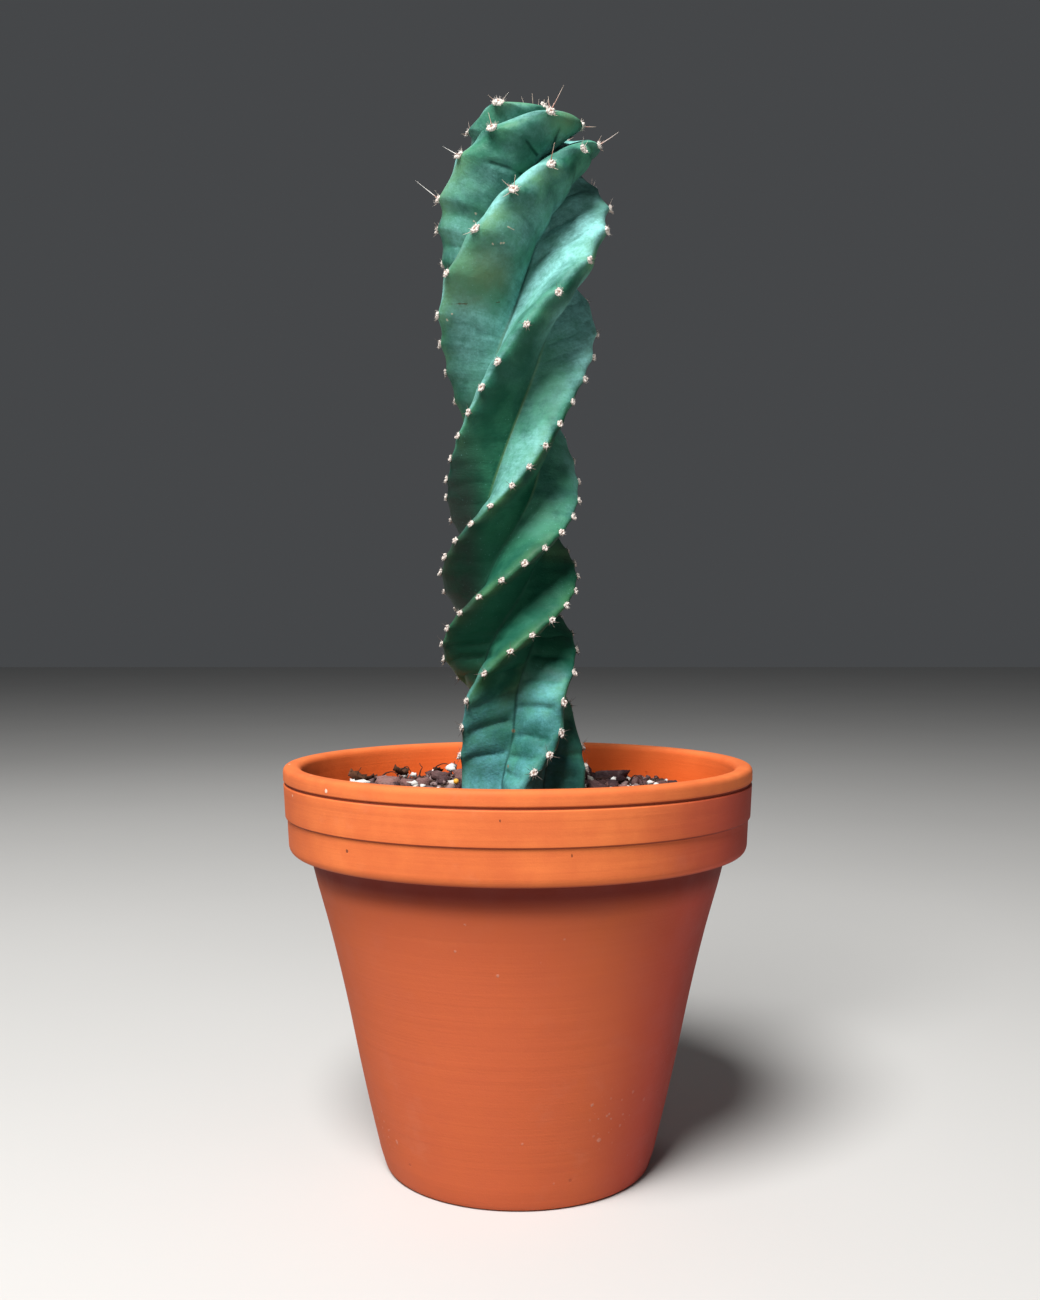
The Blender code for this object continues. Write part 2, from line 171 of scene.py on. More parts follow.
def rib_angle(form, rib):
    """The direction of a rib's crest round the stem, from the front, in radians."""
    swing = on_straight_lines(RIB_SWING, form.height) if rib % RIBS == 0 else 0
    return QUARTER_TURN * (form.turns + rib) + math.radians(swing)


def areoles_grown(form, rib):
    """How many areoles a rib has grown up to a level, as a count with fractions."""
    return on_straight_lines(AREOLE_COUNTS[rib % RIBS], form.turns)


def crest_radius(form, rib):
    """The crest dips between one areole and the next, with its tops at the areoles."""
    share = 0.5 - 0.5 * math.cos(2 * math.pi * areoles_grown(form, rib))
    fade = min(form.crest / 20, 1)
    return form.crest - on_straight_lines(SCALLOPS, form.turns) * fade * share**0.6


def crest_point(form, rib):
    angle = rib_angle(form, rib)
    radial = crest_radius(form, rib)
    tilt = math.radians(form.tilt)
    x = radial * math.sin(angle)
    leaned_x = form.lean + x * math.cos(tilt)
    leaned_z = form.height - x * math.sin(tilt)
    return Vector((leaned_x, -radial * math.cos(angle), leaned_z)) * MM


def level_lengths():
    """The lengths along the stem at which the skin has a level."""
    lengths = [SKIN_FROM]
    while lengths[-1] < STEM_FORM[-1].length:
        lengths.append(lengths[-1] + on_straight_lines(LEVEL_SPACINGS, lengths[-1]))
    return lengths[:-1] + [STEM_FORM[-1].length]


def areoles():
    """Each areole as (form, rib, number): where a rib's count of areoles reaches a whole number."""
    found = []
    for rib in range(RIBS):
        length = LOWEST_AREOLE
        form = form_at(length)
        while length < HIGHEST_AREOLE:
            length += AREOLE_STEP
            above = form_at(length)
            number = math.floor(areoles_grown(above, rib))
            if number > math.floor(areoles_grown(form, rib)):
                found.append((above, rib, number))
            form = above
    return found


def areole_frame(form, rib):
    """Place, direction along the crest, direction across it and outward direction."""
    place = crest_point(form, rib)
    along = (crest_point(form_at(form.length + 1), rib) - place).normalized()
    tilt = math.radians(form.tilt)
    axis = Vector((math.sin(tilt), 0, math.cos(tilt)))
    outward = place - (Vector((form.lean, 0, form.height)) - axis * FACING_DEPTH) * MM
    outward = (outward - along * outward.dot(along)).normalized()
    return place, along, outward.cross(along), outward


def operator(operation, swapped=False):
    """A method that adds the Math node for one operator."""

    def method(self, other):
        values = (other, self) if swapped else (self, other)
        return self.graph.maths(operation, *values)

    return method


class Wire:
    """A node's output, written into formulas: each operator adds the Math node for it."""

    def __init__(self, graph, socket):
        self.graph = graph
        self.socket = socket

    __add__ = operator("ADD")
    __radd__ = operator("ADD", swapped=True)
    __sub__ = operator("SUBTRACT")
    __rsub__ = operator("SUBTRACT", swapped=True)
    __mul__ = operator("MULTIPLY")
    __rmul__ = operator("MULTIPLY", swapped=True)
    __truediv__ = operator("DIVIDE")
    __pow__ = operator("POWER")
    __mod__ = operator("FLOORED_MODULO")
    __lt__ = operator("LESS_THAN")
    __gt__ = operator("GREATER_THAN")

    def __abs__(self):
        return self.graph.maths("ABSOLUTE", self)


def socket_of(sockets, key):
    """The socket at a number, or the first one in use that has the name."""
    if isinstance(key, int):
        return sockets[key]
    return next(socket for socket in sockets if socket.name == key and socket.enabled)


class Graph:
    """A shader or geometry tree under construction."""

    def __init__(self, tree):
        self.tree = tree

    def node(self, kind, settings=None, sockets=None, out=0):
        """Adds any node: its settings first, then the values or links of its sockets."""
        made = self.tree.nodes.new(kind)
        for name, value in (settings or {}).items():
            setattr(made, name, value)
        for key, value in (sockets or {}).items():
            self.plug(socket_of(made.inputs, key), value)
        return Wire(self, socket_of(made.outputs, out))

    def plug(self, socket, value):
        if isinstance(value, Wire):
            self.tree.links.new(value.socket, socket)
        else:
            socket.default_value = value

    def output(self, wire, name):
        """Another output of the node that a wire comes from."""
        return Wire(self, socket_of(wire.socket.node.outputs, name))

    def maths(self, operation, *values):
        return self.node("ShaderNodeMath", {"operation": operation}, dict(enumerate(values)))

    def vector(self, operation, *values, out=0):
        return self.node("ShaderNodeVectorMath", {"operation": operation}, dict(enumerate(values)), out)

    def scaled(self, vector, factor):
        return self.node("ShaderNodeVectorMath", {"operation": "SCALE"}, {0: vector, "Scale": factor})

    def combine(self, x, y, z):
        return self.node("ShaderNodeCombineXYZ", None, {0: x, 1: y, 2: z})

    def split(self, vector):
        made = self.node("ShaderNodeSeparateXYZ", None, {0: vector})
        return made, self.output(made, "Y"), self.output(made, "Z")

    def radius(self, x, y):
        return self.maths("SQRT", x * x + y * y)

    def smooth(self, value, low, high, to_low=0.0, to_high=1.0):
        """A soft step from to_low to to_high while the value goes from low to high."""
        sockets = {"Value": value, "From Min": low, "From Max": high, "To Min": to_low, "To Max": to_high}
        return self.node("ShaderNodeMapRange", {"interpolation_type": "SMOOTHSTEP"}, sockets)

    def noise(self, vector, scale, detail=2.0, roughness=0.5):
        sockets = {"Vector": vector, "Scale": scale, "Detail": detail, "Roughness": roughness}
        return self.node("ShaderNodeTexNoise", None, sockets, "Fac")

    def attribute(self, name):
        """A value stored on the mesh, in a shader."""
        return self.node("ShaderNodeAttribute", {"attribute_name": name}, None, "Fac")

    def stored(self, name, kind="FLOAT"):
        """A value stored on the mesh, in a geometry tree."""
        return self.node("GeometryNodeInputNamedAttribute", {"data_type": kind}, {"Name": name})

    def cells(self, vector, scale):
        """The distance to the nearest of the points of a cell pattern."""
        sockets = {"Vector": vector, "Scale": scale}
        return self.node("ShaderNodeTexVoronoi", {"feature": "F1"}, sockets, "Distance")

    def mix(self, factor, first, second):
        """Mixes two colours: wires, or three values each."""
        sockets = {"Factor": factor}
        for key, value in (("A", first), ("B", second)):
            sockets[key] = value if isinstance(value, Wire) else (*value, 1.0)
        return self.node("ShaderNodeMix", {"data_type": "RGBA"}, sockets, "Result")

    def uneven(self, vector, scale):
        """Soft noise round 0."""
        return self.noise(vector, scale, 1.0) - 0.5

    def store(self, geometry, name, value, domain="POINT"):
        """Stores a value on a mesh."""
        sockets = {"Geometry": geometry, "Name": name, "Value": value}
        settings = {"data_type": "FLOAT", "domain": domain}
        return self.node("GeometryNodeStoreNamedAttribute", settings, sockets)

    def random(self, low, high, seed):
        """A different value on each point."""
        sockets = {"Min": low, "Max": high, "Seed": seed}
        return self.node("FunctionNodeRandomValue", {"data_type": "FLOAT"}, sockets, "Value")

    def moved(self, geometry, offset):
        return self.node("GeometryNodeSetPosition", None, {"Geometry": geometry, "Offset": offset})

    def copies(self, points, amount):
        sockets = {"Geometry": points, "Amount": amount}
        return self.node("GeometryNodeDuplicateElements", {"domain": "POINT"}, sockets)

    def on_points(self, points, instance, rotation, scale, pick=None):
        """The instance on each point, or one picked by number from a collection's instances."""
        sockets = {"Points": points, "Instance": instance, "Rotation": rotation, "Scale": scale}
        if pick is not None:
            sockets.update({"Pick Instance": True, "Instance Index": pick})
        return self.node("GeometryNodeInstanceOnPoints", None, sockets)

    def real(self, geometry):
        return self.node("GeometryNodeRealizeInstances", None, {"Geometry": geometry})

    def joined(self, first, second):
        made = self.node("GeometryNodeJoinGeometry", None, {"Geometry": first})
        self.plug(made.socket.node.inputs["Geometry"], second)
        return made

    def turned(self, direction):
        """A rotation that turns Z to a direction."""
        return self.node("FunctionNodeAlignRotationToVector", {"axis": "Z"}, {"Vector": direction})

    def from_object(self, obj, **settings):
        """The distance to an object's nearest face or, by the settings, edge or point."""
        shape = self.node("GeometryNodeObjectInfo", None, {"Object": obj}, "Geometry")
        return self.node("GeometryNodeProximity", settings, {"Geometry": shape}, "Distance")


def new_material(name):
    """A material with its graph, its shader node and its object coordinates."""
    made = bpy.data.materials.new(name)
    made.use_nodes = True
    graph = Graph(made.node_tree)
    shader = made.node_tree.nodes["Principled BSDF"]
    place = graph.node("ShaderNodeTexCoord", None, None, "Object")
    return made, graph, shader, place


def finish_shader(graph, shader, base, roughness, bumps, specular=0.5):
    """Links colour and roughness, and stacks bumps given as (height, strength, distance)."""
    graph.plug(shader.inputs["Base Color"], base)
    graph.plug(shader.inputs["Roughness"], roughness)
    shader.inputs["Specular IOR Level"].default_value = specular
    normal = None
    for height, strength, distance in bumps:
        sockets = {"Strength": strength, "Distance": distance, "Height": height}
        if normal is not None:
            sockets["Normal"] = normal
        normal = graph.node("ShaderNodeBump", None, sockets)
    graph.plug(shader.inputs["Normal"], normal)


def geometry_tree(name, inputs):
    """A geometry tree whose modifier has these inputs besides the mesh, as kinds by name."""
    tree = bpy.data.node_groups.new(name, "GeometryNodeTree")
    tree.is_modifier = True
    tree.interface.new_socket("Geometry", in_out="INPUT", socket_type="NodeSocketGeometry")
    tree.interface.new_socket("Geometry", in_out="OUTPUT", socket_type="NodeSocketGeometry")
    for label, kind in inputs.items():
        tree.interface.new_socket(label, in_out="INPUT", socket_type="NodeSocket" + kind)
    graph = Graph(tree)
    mesh = graph.node("NodeGroupInput", None, None, "Geometry")
    return graph, mesh, {label: graph.output(mesh, label) for label in inputs}


def end_tree(graph, geometry, material):
    """Ends a tree in real geometry, smoothly shaded, with its material."""
    smooth = graph.node("GeometryNodeSetShadeSmooth", None, {"Geometry": geometry})
    sockets = {"Geometry": graph.real(smooth), "Material": material}
    painted = graph.node("GeometryNodeSetMaterial", None, sockets)
    graph.plug(graph.tree.nodes.new("NodeGroupOutput").inputs["Geometry"], painted)
    return graph.tree


def grow(name, tree, base, values):
    """Runs a geometry tree on a base mesh and returns the result as an object with a plain mesh."""
    obj = new_object(name, base)
    modifier = obj.modifiers.new("Grow", "NODES")
    modifier.node_group = tree
    for item in tree.interface.items_tree:
        if item.in_out == "INPUT" and item.name in values:
            modifier[item.identifier] = values[item.name]
    graph = bpy.context.evaluated_depsgraph_get()
    result = bpy.data.meshes.new_from_object(obj.evaluated_get(graph))
    obj.modifiers.clear()
    obj.data = result
    if not result.polygons:
        raise RuntimeError(f"{name} came out empty")
    return obj


def new_object(name, mesh):
    obj = bpy.data.objects.new(name, mesh)
    bpy.context.scene.collection.objects.link(obj)
    return obj


def mesh_of(bm, name):
    mesh = bpy.data.meshes.new(name)
    bm.to_mesh(mesh)
    bm.free()
    return mesh


def lines_mesh(name, lines):
    """A mesh of edges only, along lines from place to place."""
    mesh = bpy.data.meshes.new(name)
    places = []
    edges = []
    for line in lines:
        edges += [(len(places) + k, len(places) + k + 1) for k in range(len(line) - 1)]
        places += line
    mesh.from_pydata(places, edges, [])
    return mesh


def from_settings(settings, *labels):
    """The values of those inputs of a tree that have a setting of the same name."""
    return {label: getattr(settings, label.lower().replace(" ", "_")) for label in labels}


def length_setting(name, description, default):
    return FloatProperty(name=name, description=description, default=default, unit="LENGTH")


def power_setting(name, description, default):
    return FloatProperty(name=name, description=description, default=default, unit="POWER")


def colour_setting(name, description, default):
    return FloatVectorProperty(name=name, description=description, default=default, subtype="COLOR")


def points_mesh(name, places, values):
    """A mesh of points only, with values stored on them by name: floats, or vectors."""
    mesh = bpy.data.meshes.new(name)
    mesh.from_pydata([tuple(place) for place in places], [], [])
    for label, column in values.items():
        if isinstance(column[0], (int, float)):
            mesh.attributes.new(label, "FLOAT", "POINT").data.foreach_set("value", column)
        else:
            flat = [part for vector in column for part in vector]
            mesh.attributes.new(label, "FLOAT_VECTOR", "POINT").data.foreach_set("vector", flat)
    return mesh


# The stem's skin

# Marks on the skin, in mm: corky specks, small brown knots and discoloured patches, each as a place
# and a radius
CORK_SPECKS = (
    (-18.6, -12.5, 424.3, 0.8),
    (-19.4, -10.4, 421.8, 0.6),
    (-7.2, -31.9, 406.4, 0.7),
    (-6.1, -31.8, 406.4, 0.6),
    (-10.6, -32.4, 405.9, 0.6),
    (-31.2, -13.7, 377.5, 0.8),
    (-28.9, -16.8, 379.5, 0.7),
)
BROWN_KNOTS = ((-1.9, -12.6, 196.1, 1.1), (-3.8, -13.0, 180.3, 1.2))
OLIVE_PATCHES = ((-18.0, -22.0, 396.0, 22.0), (20.0, -20.0, 462.0, 12.0), (-26.0, -14.0, 345.0, 14.0))
# A healed scratch, and a short pale one, as lines from place to place in mm
BROWN_SCRATCH = ((-33.0, -17.0, 383.7), (-25.2, -20.0, 383.2), (-7.8, -19.1, 384.2))
PALE_SCRATCH = ((-4.2, -34.2, 412.7), (-1.6, -32.6, 411.8))
# Creases pressed into the upper flanks, as lines from place to place in mm, and how wide they are
CREASE_REACH = 0.0028
CREASES = (
    ((18.3, -20.6, 458.4), (17.1, -17.2, 455.4), (16.1, -12.8, 453.4)),
    ((3.9, -25.6, 451.6), (7.0, -21.0, 448.9), (9.3, -16.6, 447.8)),
    ((-12.5, -23.4, 443.5), (-4.3, -21.1, 442.0), (2.4, -15.0, 440.4)),
)


# What each point of the skin's guide carries
GUIDE_VALUES = (
    "angle", "crest", "grown", "turns", "height", "lean", "tilt", "valley", "width", "drop", "pinch", "tuck",
)


def skin_guide():
    """For each rib, a crest point for each level, which carries the level's form."""
    values = {name: [] for name in GUIDE_VALUES}
    places = []
    lengths = level_lengths()
    for rib in range(RIBS):
        for number, length in enumerate(lengths):
            form = form_at(length)
            size = 0.0 if number in (0, len(lengths) - 1) else MM
            places.append(crest_point(form, rib))
            values["angle"].append(rib_angle(form, rib))
            values["crest"].append(crest_radius(form, rib) * size)
            values["grown"].append(areoles_grown(form, rib))
            values["turns"].append(form.turns)
            for name, unit in (("valley", size), ("width", size), ("height", MM), ("lean", MM), ("drop", MM)):
                values[name].append(getattr(form, name) * unit)
            for name in ("tilt", "pinch", "tuck"):
                values[name].append(math.radians(getattr(form, name)))
    return points_mesh("skin_guide", places, values), len(lengths)


def crease_guide():
    """The creases as an object, for the skin's tree to measure distances from."""
    lines = [[Vector(place) * MM for place in line] for line in CREASES]
    return bpy.data.objects.new("crease_guide", lines_mesh("crease_guide", lines))


def skin_tree():
    """Turns the guide's rows into the ribbed skin, then presses folds and unevenness into it."""
    g, guide, given = geometry_tree("Ribbed skin", {
        "Levels": "Int", "Half Rib Columns": "Int", "Fold Depth": "Float", "Creases": "Object",
        "Crease Depth": "Float", "Unevenness": "Float", "Seed": "Float", "Skin": "Material",
    })
    levels = given["Levels"]
    half = given["Half Rib Columns"]
    rib_columns = half * 2 + 1
    counts = {"Vertices X": rib_columns * RIBS, "Vertices Y": levels}
    grid = g.node("GeometryNodeMeshGrid", None, counts, "Mesh")
    index = g.node("GeometryNodeInputIndex")
    column = g.maths("FLOOR", (index + 0.5) / levels)
    level = index - column * levels
    rib = g.maths("FLOOR", (column + 0.5) / rib_columns)
    across = (column - rib * rib_columns) / half - 1
    side = g.maths("SIGN", across)
    t = abs(across)
    s = 1 - t

    def sample(name, at_rib):
        sockets = {"Geometry": guide, "Value": g.stored(name), "Index": at_rib * levels + level}
        return g.node("GeometryNodeSampleIndex", {"data_type": "FLOAT", "domain": "POINT"}, sockets)

    form = {name: sample(name, rib) for name in GUIDE_VALUES}
    next_angle = sample("angle", (rib + side + RIBS) % RIBS)
    gap = abs(g.maths("WRAP", next_angle - form["angle"], math.pi, -math.pi))
    # At the crest itself there is no next rib, and the gap isn't used
    half_gap = g.maths("MAXIMUM", gap / 2, 0.1)
    valley_radial = form["valley"] * g.maths("COSINE", half_gap)
    valley_across = form["valley"] * g.maths("SINE", half_gap)
    reach = (form["crest"] - form["valley"]) * FLANK_REACH
    bulge = form["pinch"] + (form["tuck"] - form["pinch"]) * (side > 0)
    pull_radial = valley_radial + reach * g.maths("COSINE", bulge)
    pull_across = valley_across + reach * g.maths("SINE", bulge)
    near_crest = s * s * s + 3 * t * s * s
    near_pull = 3 * t * t * s
    near_valley = t * t * t
    radial = form["crest"] * near_crest + pull_radial * near_pull + valley_radial * near_valley
    sideways = form["width"] * (3 * t * s * s) + pull_across * near_pull + valley_across * near_valley
    drop = form["drop"] * (form["crest"] - radial) / (form["crest"] - valley_radial)
    cos_angle = g.maths("COSINE", form["angle"])
    sin_angle = g.maths("SINE", form["angle"])
    x = radial * sin_angle + side * sideways * cos_angle
    y = side * sideways * sin_angle - radial * cos_angle
    cos_tilt = g.maths("COSINE", form["tilt"])
    sin_tilt = g.maths("SINE", form["tilt"])
    leaned_x = form["lean"] + x * cos_tilt - drop * sin_tilt
    leaned_z = form["height"] - x * sin_tilt - drop * cos_tilt
    sockets = {"Geometry": grid, "Position": g.combine(leaned_x, y, leaned_z)}
    shaped = g.node("GeometryNodeSetPosition", None, sockets)

    # The last two belong to one rib each, so at the valleys they are kept on face corners
    for name, domain, value in (
        ("flank", "POINT", t),
        ("turns", "POINT", form["turns"]),
        ("point_grown", "POINT", form["grown"]),
        ("point_across", "POINT", across),
        ("grown", "CORNER", g.stored("point_grown")),
        ("across", "CORNER", g.stored("point_across")),
    ):
        shaped = g.store(shaped, name, value, domain)
    merged = g.node("GeometryNodeMergeByDistance", None, {"Geometry": shaped, "Distance": MERGE_DISTANCE})

    place = g.node("GeometryNodeInputPosition")
    seeded = g.vector("ADD", place, g.combine(given["Seed"], 0.0, 0.0))
    flank = g.stored("flank")
    turns = g.stored("turns")
    on_flank = g.smooth(flank, 0.1, 0.45) * g.smooth(flank, 0.9, 1.0, 1.0, 0.25)
    swell = g.uneven(seeded, 34.0) * 2 * given["Unevenness"] * on_flank
    rise = fold_rise(g, g.stored("across"), turns)
    folds = fold_lines(g, g.stored("grown") + fold_warp(g, seeded, turns), flank, rise, 0.5) ** 2.2
    deep = g.smooth(turns, 0.8, 1.4, 1.5, 0.2) + g.smooth(turns, 3.8, 4.9, 0.0, 0.6)
    patchy = g.smooth(g.noise(seeded, 45.0, 1.0), 0.3, 0.6, 0.55, 1.0)
    ends = g.smooth(flank, 0.08, 0.4) * g.smooth(flank, 0.92, 1.0, 1.0, 0.0)
    near = g.from_object(given["Creases"], target_element="EDGES")
    merged = g.store(merged, "crease", g.smooth(near, 0.0, CREASE_REACH, 1.0, 0.0))
    pressed = folds * deep * patchy * ends * given["Fold Depth"]
    pressed = pressed + g.stored("crease") * given["Crease Depth"]
    normal = g.node("GeometryNodeInputNormal")
    return end_tree(g, g.moved(merged, g.scaled(normal, swell - pressed)), given["Skin"])


def fold_warp(g, place, turns):
    """How far a fold strays from its line, in areole spacings."""
    return g.uneven(place, 60.0) * g.smooth(turns, 0.8, 1.6, 0.45, 0.9)


def fold_rise(g, across, turns):
    """How far a fold climbs from crest to valley, in areole spacings: it differs on the two flanks."""
    right = g.smooth(turns, 0.8, 1.6, 0.75, 0.2) + g.smooth(turns, 4.4, 5.2, 0.0, -0.6)
    left = g.smooth(turns, 3.4, 4.4, 0.3, -1.0)
    return left + (right - left) * (across > 0)


def fold_lines(g, grown, flank, rise, width):
    """1 along the folds that run from between two areoles to the valley, 0 away from them."""
    along = grown - rise * flank - 0.5 * flank * (1 - flank)
    away = abs(along - g.maths("FLOOR", along) - 0.5)
    return 1 - g.maths("MINIMUM", away / width, 1.0)


def spots(g, place, rows, ragged, core):
    """1 on round marks given as (x, y, z, radius) in mm, fading out from a share of the radius."""
    found = None
    for x, y, z, radius in rows:
        away = g.vector("DISTANCE", place, (x * MM, y * MM, z * MM), out="Value") + ragged
        mark = g.smooth(away, radius * MM * core, radius * MM, 1.0, 0.0)
        found = mark if found is None else g.maths("MAXIMUM", found, mark)
    return found


def scratch(g, place, line, width, wobble):
    """1 on a thin line from place to place, given in mm."""
    nearest = None
    for start, end in zip(line, line[1:]):
        start = Vector(start) * MM
        run = Vector(end) * MM - start
        from_start = g.vector("SUBTRACT", place, start)
        along = g.vector("DOT_PRODUCT", from_start, run / run.length_squared, out="Value")
        along = g.maths("MINIMUM", g.maths("MAXIMUM", along, 0.0), 1.0)
        foot = g.vector("ADD", g.scaled(tuple(run), along), start)
        away = g.vector("DISTANCE", place, foot, out="Value")
        nearest = away if nearest is None else g.maths("MINIMUM", nearest, away)
    return g.smooth(nearest + wobble, width * 0.4, width, 1.0, 0.0)


def skin_material(settings):
    material, g, shader, place = new_material("waxy_skin")
    x, _, _ = g.split(place)
    across = g.attribute("across")
    flank = abs(across)
    turns = g.attribute("turns")
    grown = g.attribute("grown")
    broad = g.noise(place, 22.0, 2.0, 0.5)
    cloudy = g.noise(g.vector("ADD", place, (3.0, 1.0, 7.0)), 55.0, 4.0, 0.6)
    patchy = g.noise(place, 160.0, 4.0, 0.62)
    fine = g.noise(place, 1100.0, 3.0, 0.6)

    base = g.mix(g.smooth(cloudy, 0.36, 0.62), settings.flesh_dark, settings.flesh)
    # Painted shade: the right flanks of the middle stem, which face away from the light, are darkened.
    shaded = g.smooth(across, 0.0, 0.25) * g.smooth(turns, 0.5, 1.2) * g.smooth(turns, 3.7, 4.6, 1.0, 0.25)
    base = g.mix(shaded * 0.5, base, settings.flesh_dark)
    # The lower middle of the stem is darkened too.
    middle = g.smooth(turns, 0.5, 1.0) * g.smooth(turns, 3.2, 4.0, 1.0, 0.0)
    base = g.mix(middle * g.smooth(turns, 2.2, 2.8, 0.66, 0.08), base, settings.flesh_dark)
    # Painted shade: a dark band on the right flank just under each crest, where the crest above overhangs it.
    shade_under_crest = g.smooth(across, 0.02, 0.1) * g.smooth(across, 0.2, 0.5, 1.0, 0.0) * middle
    base = g.mix(shade_under_crest * 0.55, base, settings.crease)
    green = g.smooth(flank, 0.04, 0.5, 1.0, 0.0) * g.smooth(broad + cloudy * 0.5, 0.66, 0.86)
    base = g.mix(green * g.smooth(turns, 3.0, 4.4, 0.35, 0.85), base, settings.crest_green)
    rise = fold_rise(g, across, turns)
    streaks = g.noise(g.combine((grown - rise * flank) * 2.2, across * 0.9, turns * 0.7), 2.6, 3.0, 0.6)
    waxy = g.smooth(broad, 0.36, 0.6, 0.2, 1.0) * g.smooth(patchy, 0.3, 0.66, 0.6, 1.0)
    powder = g.noise(place, 430.0, 3.0, 0.7)
    waxy = waxy * g.smooth(streaks, 0.34, 0.62, 0.85, 1.1) * g.smooth(powder, 0.36, 0.62, 0.82, 1.12)
    # The bloom is the skin's own pale wax. From the upper middle of the stem up, it is laid thicker on the
    # left flanks, which face the light, than on the right flanks: that difference is painted light and shade.
    top = g.smooth(turns, 3.4, 4.4)
    left = g.smooth(turns, 0.3, 1.0, 0.85, 0.05) + g.smooth(turns, 2.4, 3.1, 0.0, 0.9)
    left = left * g.smooth(flank, 0.4, 0.9, 1.0, 0.75) + top * 0.4
    right = g.smooth(turns, 0.1, 0.65, 0.85, 0.03) + top * g.smooth(flank, 0.1, 0.7, 0.35, 0.85)
    sides = left + (right - left) * g.smooth(across, -0.06, 0.06)
    bloom = waxy * sides * g.smooth(fine, 0.3, 0.6, 0.8, 1.0)
    wax = g.mix(g.smooth(turns, 0.3, 1.2, 0.85, 0.0), settings.bloom, settings.blue_bloom)
    base = g.mix(bloom * 0.85, base, wax)
    yellow = g.smooth(flank, 0.955, 0.995) * g.smooth(turns, 2.6, 3.2) * g.smooth(turns, 4.0, 4.5, 1.0, 0.0)
    base = g.mix(yellow * 0.18, base, settings.valley_line)
    # Painted shade: the left side of the middle stem is greyed and darkened in patches.
    grey = g.smooth(x, -0.012, -0.024) * g.smooth(turns, 1.2, 1.7) * g.smooth(turns, 3.0, 3.6, 1.0, 0.0)
    base = g.mix(grey * g.smooth(cloudy, 0.3, 0.55, 0.4, 0.85), base, settings.grey_skin)
    tired = g.smooth(g.noise(g.vector("ADD", place, (9.0, 4.0, 2.0)), 17.0, 2.0), 0.54, 0.68)
    base = g.mix(tired * 0.5, base, settings.tired)
    specks = g.smooth(g.noise(place, 1300.0, 1.0), 0.69, 0.77) * g.smooth(cloudy, 0.4, 0.6)
    base = g.mix(specks * 0.35, base, settings.bloom)
    olive = spots(g, place, OLIVE_PATCHES, (cloudy - 0.5) * 0.02, 0.1)
    base = g.mix(olive * 0.5, base, settings.tired)
    ragged = (fine - 0.5) * 0.0012 + (patchy - 0.5) * 0.0012
    cork = spots(g, place, CORK_SPECKS, ragged, 0.5)
    base = g.mix(cork * 0.8, base, settings.cork)
    base = g.mix(spots(g, place, BROWN_KNOTS, 0.0, 0.5) * 0.8, base, settings.knot)
    wobble = (patchy - 0.5) * 0.002
    brown = scratch(g, place, BROWN_SCRATCH, 0.00035, wobble) * g.smooth(fine, 0.35, 0.5)
    base = g.mix(brown * 0.75, base, settings.scab)
    pale = scratch(g, place, PALE_SCRATCH, 0.0003, wobble)
    base = g.mix(pale * 0.7, base, settings.cork)

    seeded = g.vector("ADD", place, (settings.seed, 0.0, 0.0))
    lines = g.smooth(fold_lines(g, grown + fold_warp(g, seeded, turns), flank, rise, 0.1), 0.0, 1.0)
    lines = lines * g.smooth(flank, 0.2, 0.5) * g.smooth(flank, 0.85, 1.0, 1.0, 0.3)
    lines = lines * g.smooth(g.noise(place, 52.0, 2.0), 0.5, 0.62)
    lines = lines * (g.smooth(turns, 0.9, 1.5, 1.0, 0.15) + g.smooth(turns, 3.8, 4.6, 0.0, 0.6))
    # Painted shade along the fold lines, where each fold sinks in.
    base = g.mix(lines * 0.3, base, settings.flesh_dark)
    # Painted shade in the valleys and along the pressed creases.
    valley = g.smooth(flank, 0.955, 1.0) * g.smooth(g.noise(place, 90.0, 2.0), 0.35, 0.6, 0.5, 1.0)
    valley = valley * (g.smooth(turns, 0.9, 1.5, 0.7, 0.25) + g.smooth(turns, 4.0, 4.6, 0.0, 0.5))
    crease_shade = g.maths("MAXIMUM", valley, g.smooth(g.attribute("crease"), 0.6, 1.0, 0.0, 0.85))
    base = g.mix(crease_shade, base, settings.crease)
    roughness = g.smooth(bloom + specks, 0.0, 1.0, 0.5, 0.7)
    wrinkles = g.noise(g.combine((grown - rise * flank) * 9.0, across * 3.0, turns * 3.0), 2.4, 3.0, 0.65)
    wrinkles = wrinkles * (g.smooth(turns, 0.7, 1.5, 0.35, 1.0) - g.smooth(turns, 3.2, 4.2, 0.0, 0.5))
    bumps = (
        (1 - lines, 0.6, 0.0004),
        (wrinkles, 0.2, 0.001),
        (patchy, 0.35, 0.001),
        (powder, 0.25, 0.0004),
        (fine + cork + pale - brown, 0.45, 0.0003),
    )
    finish_shader(g, shader, base, roughness, bumps, 0.14)
    return material


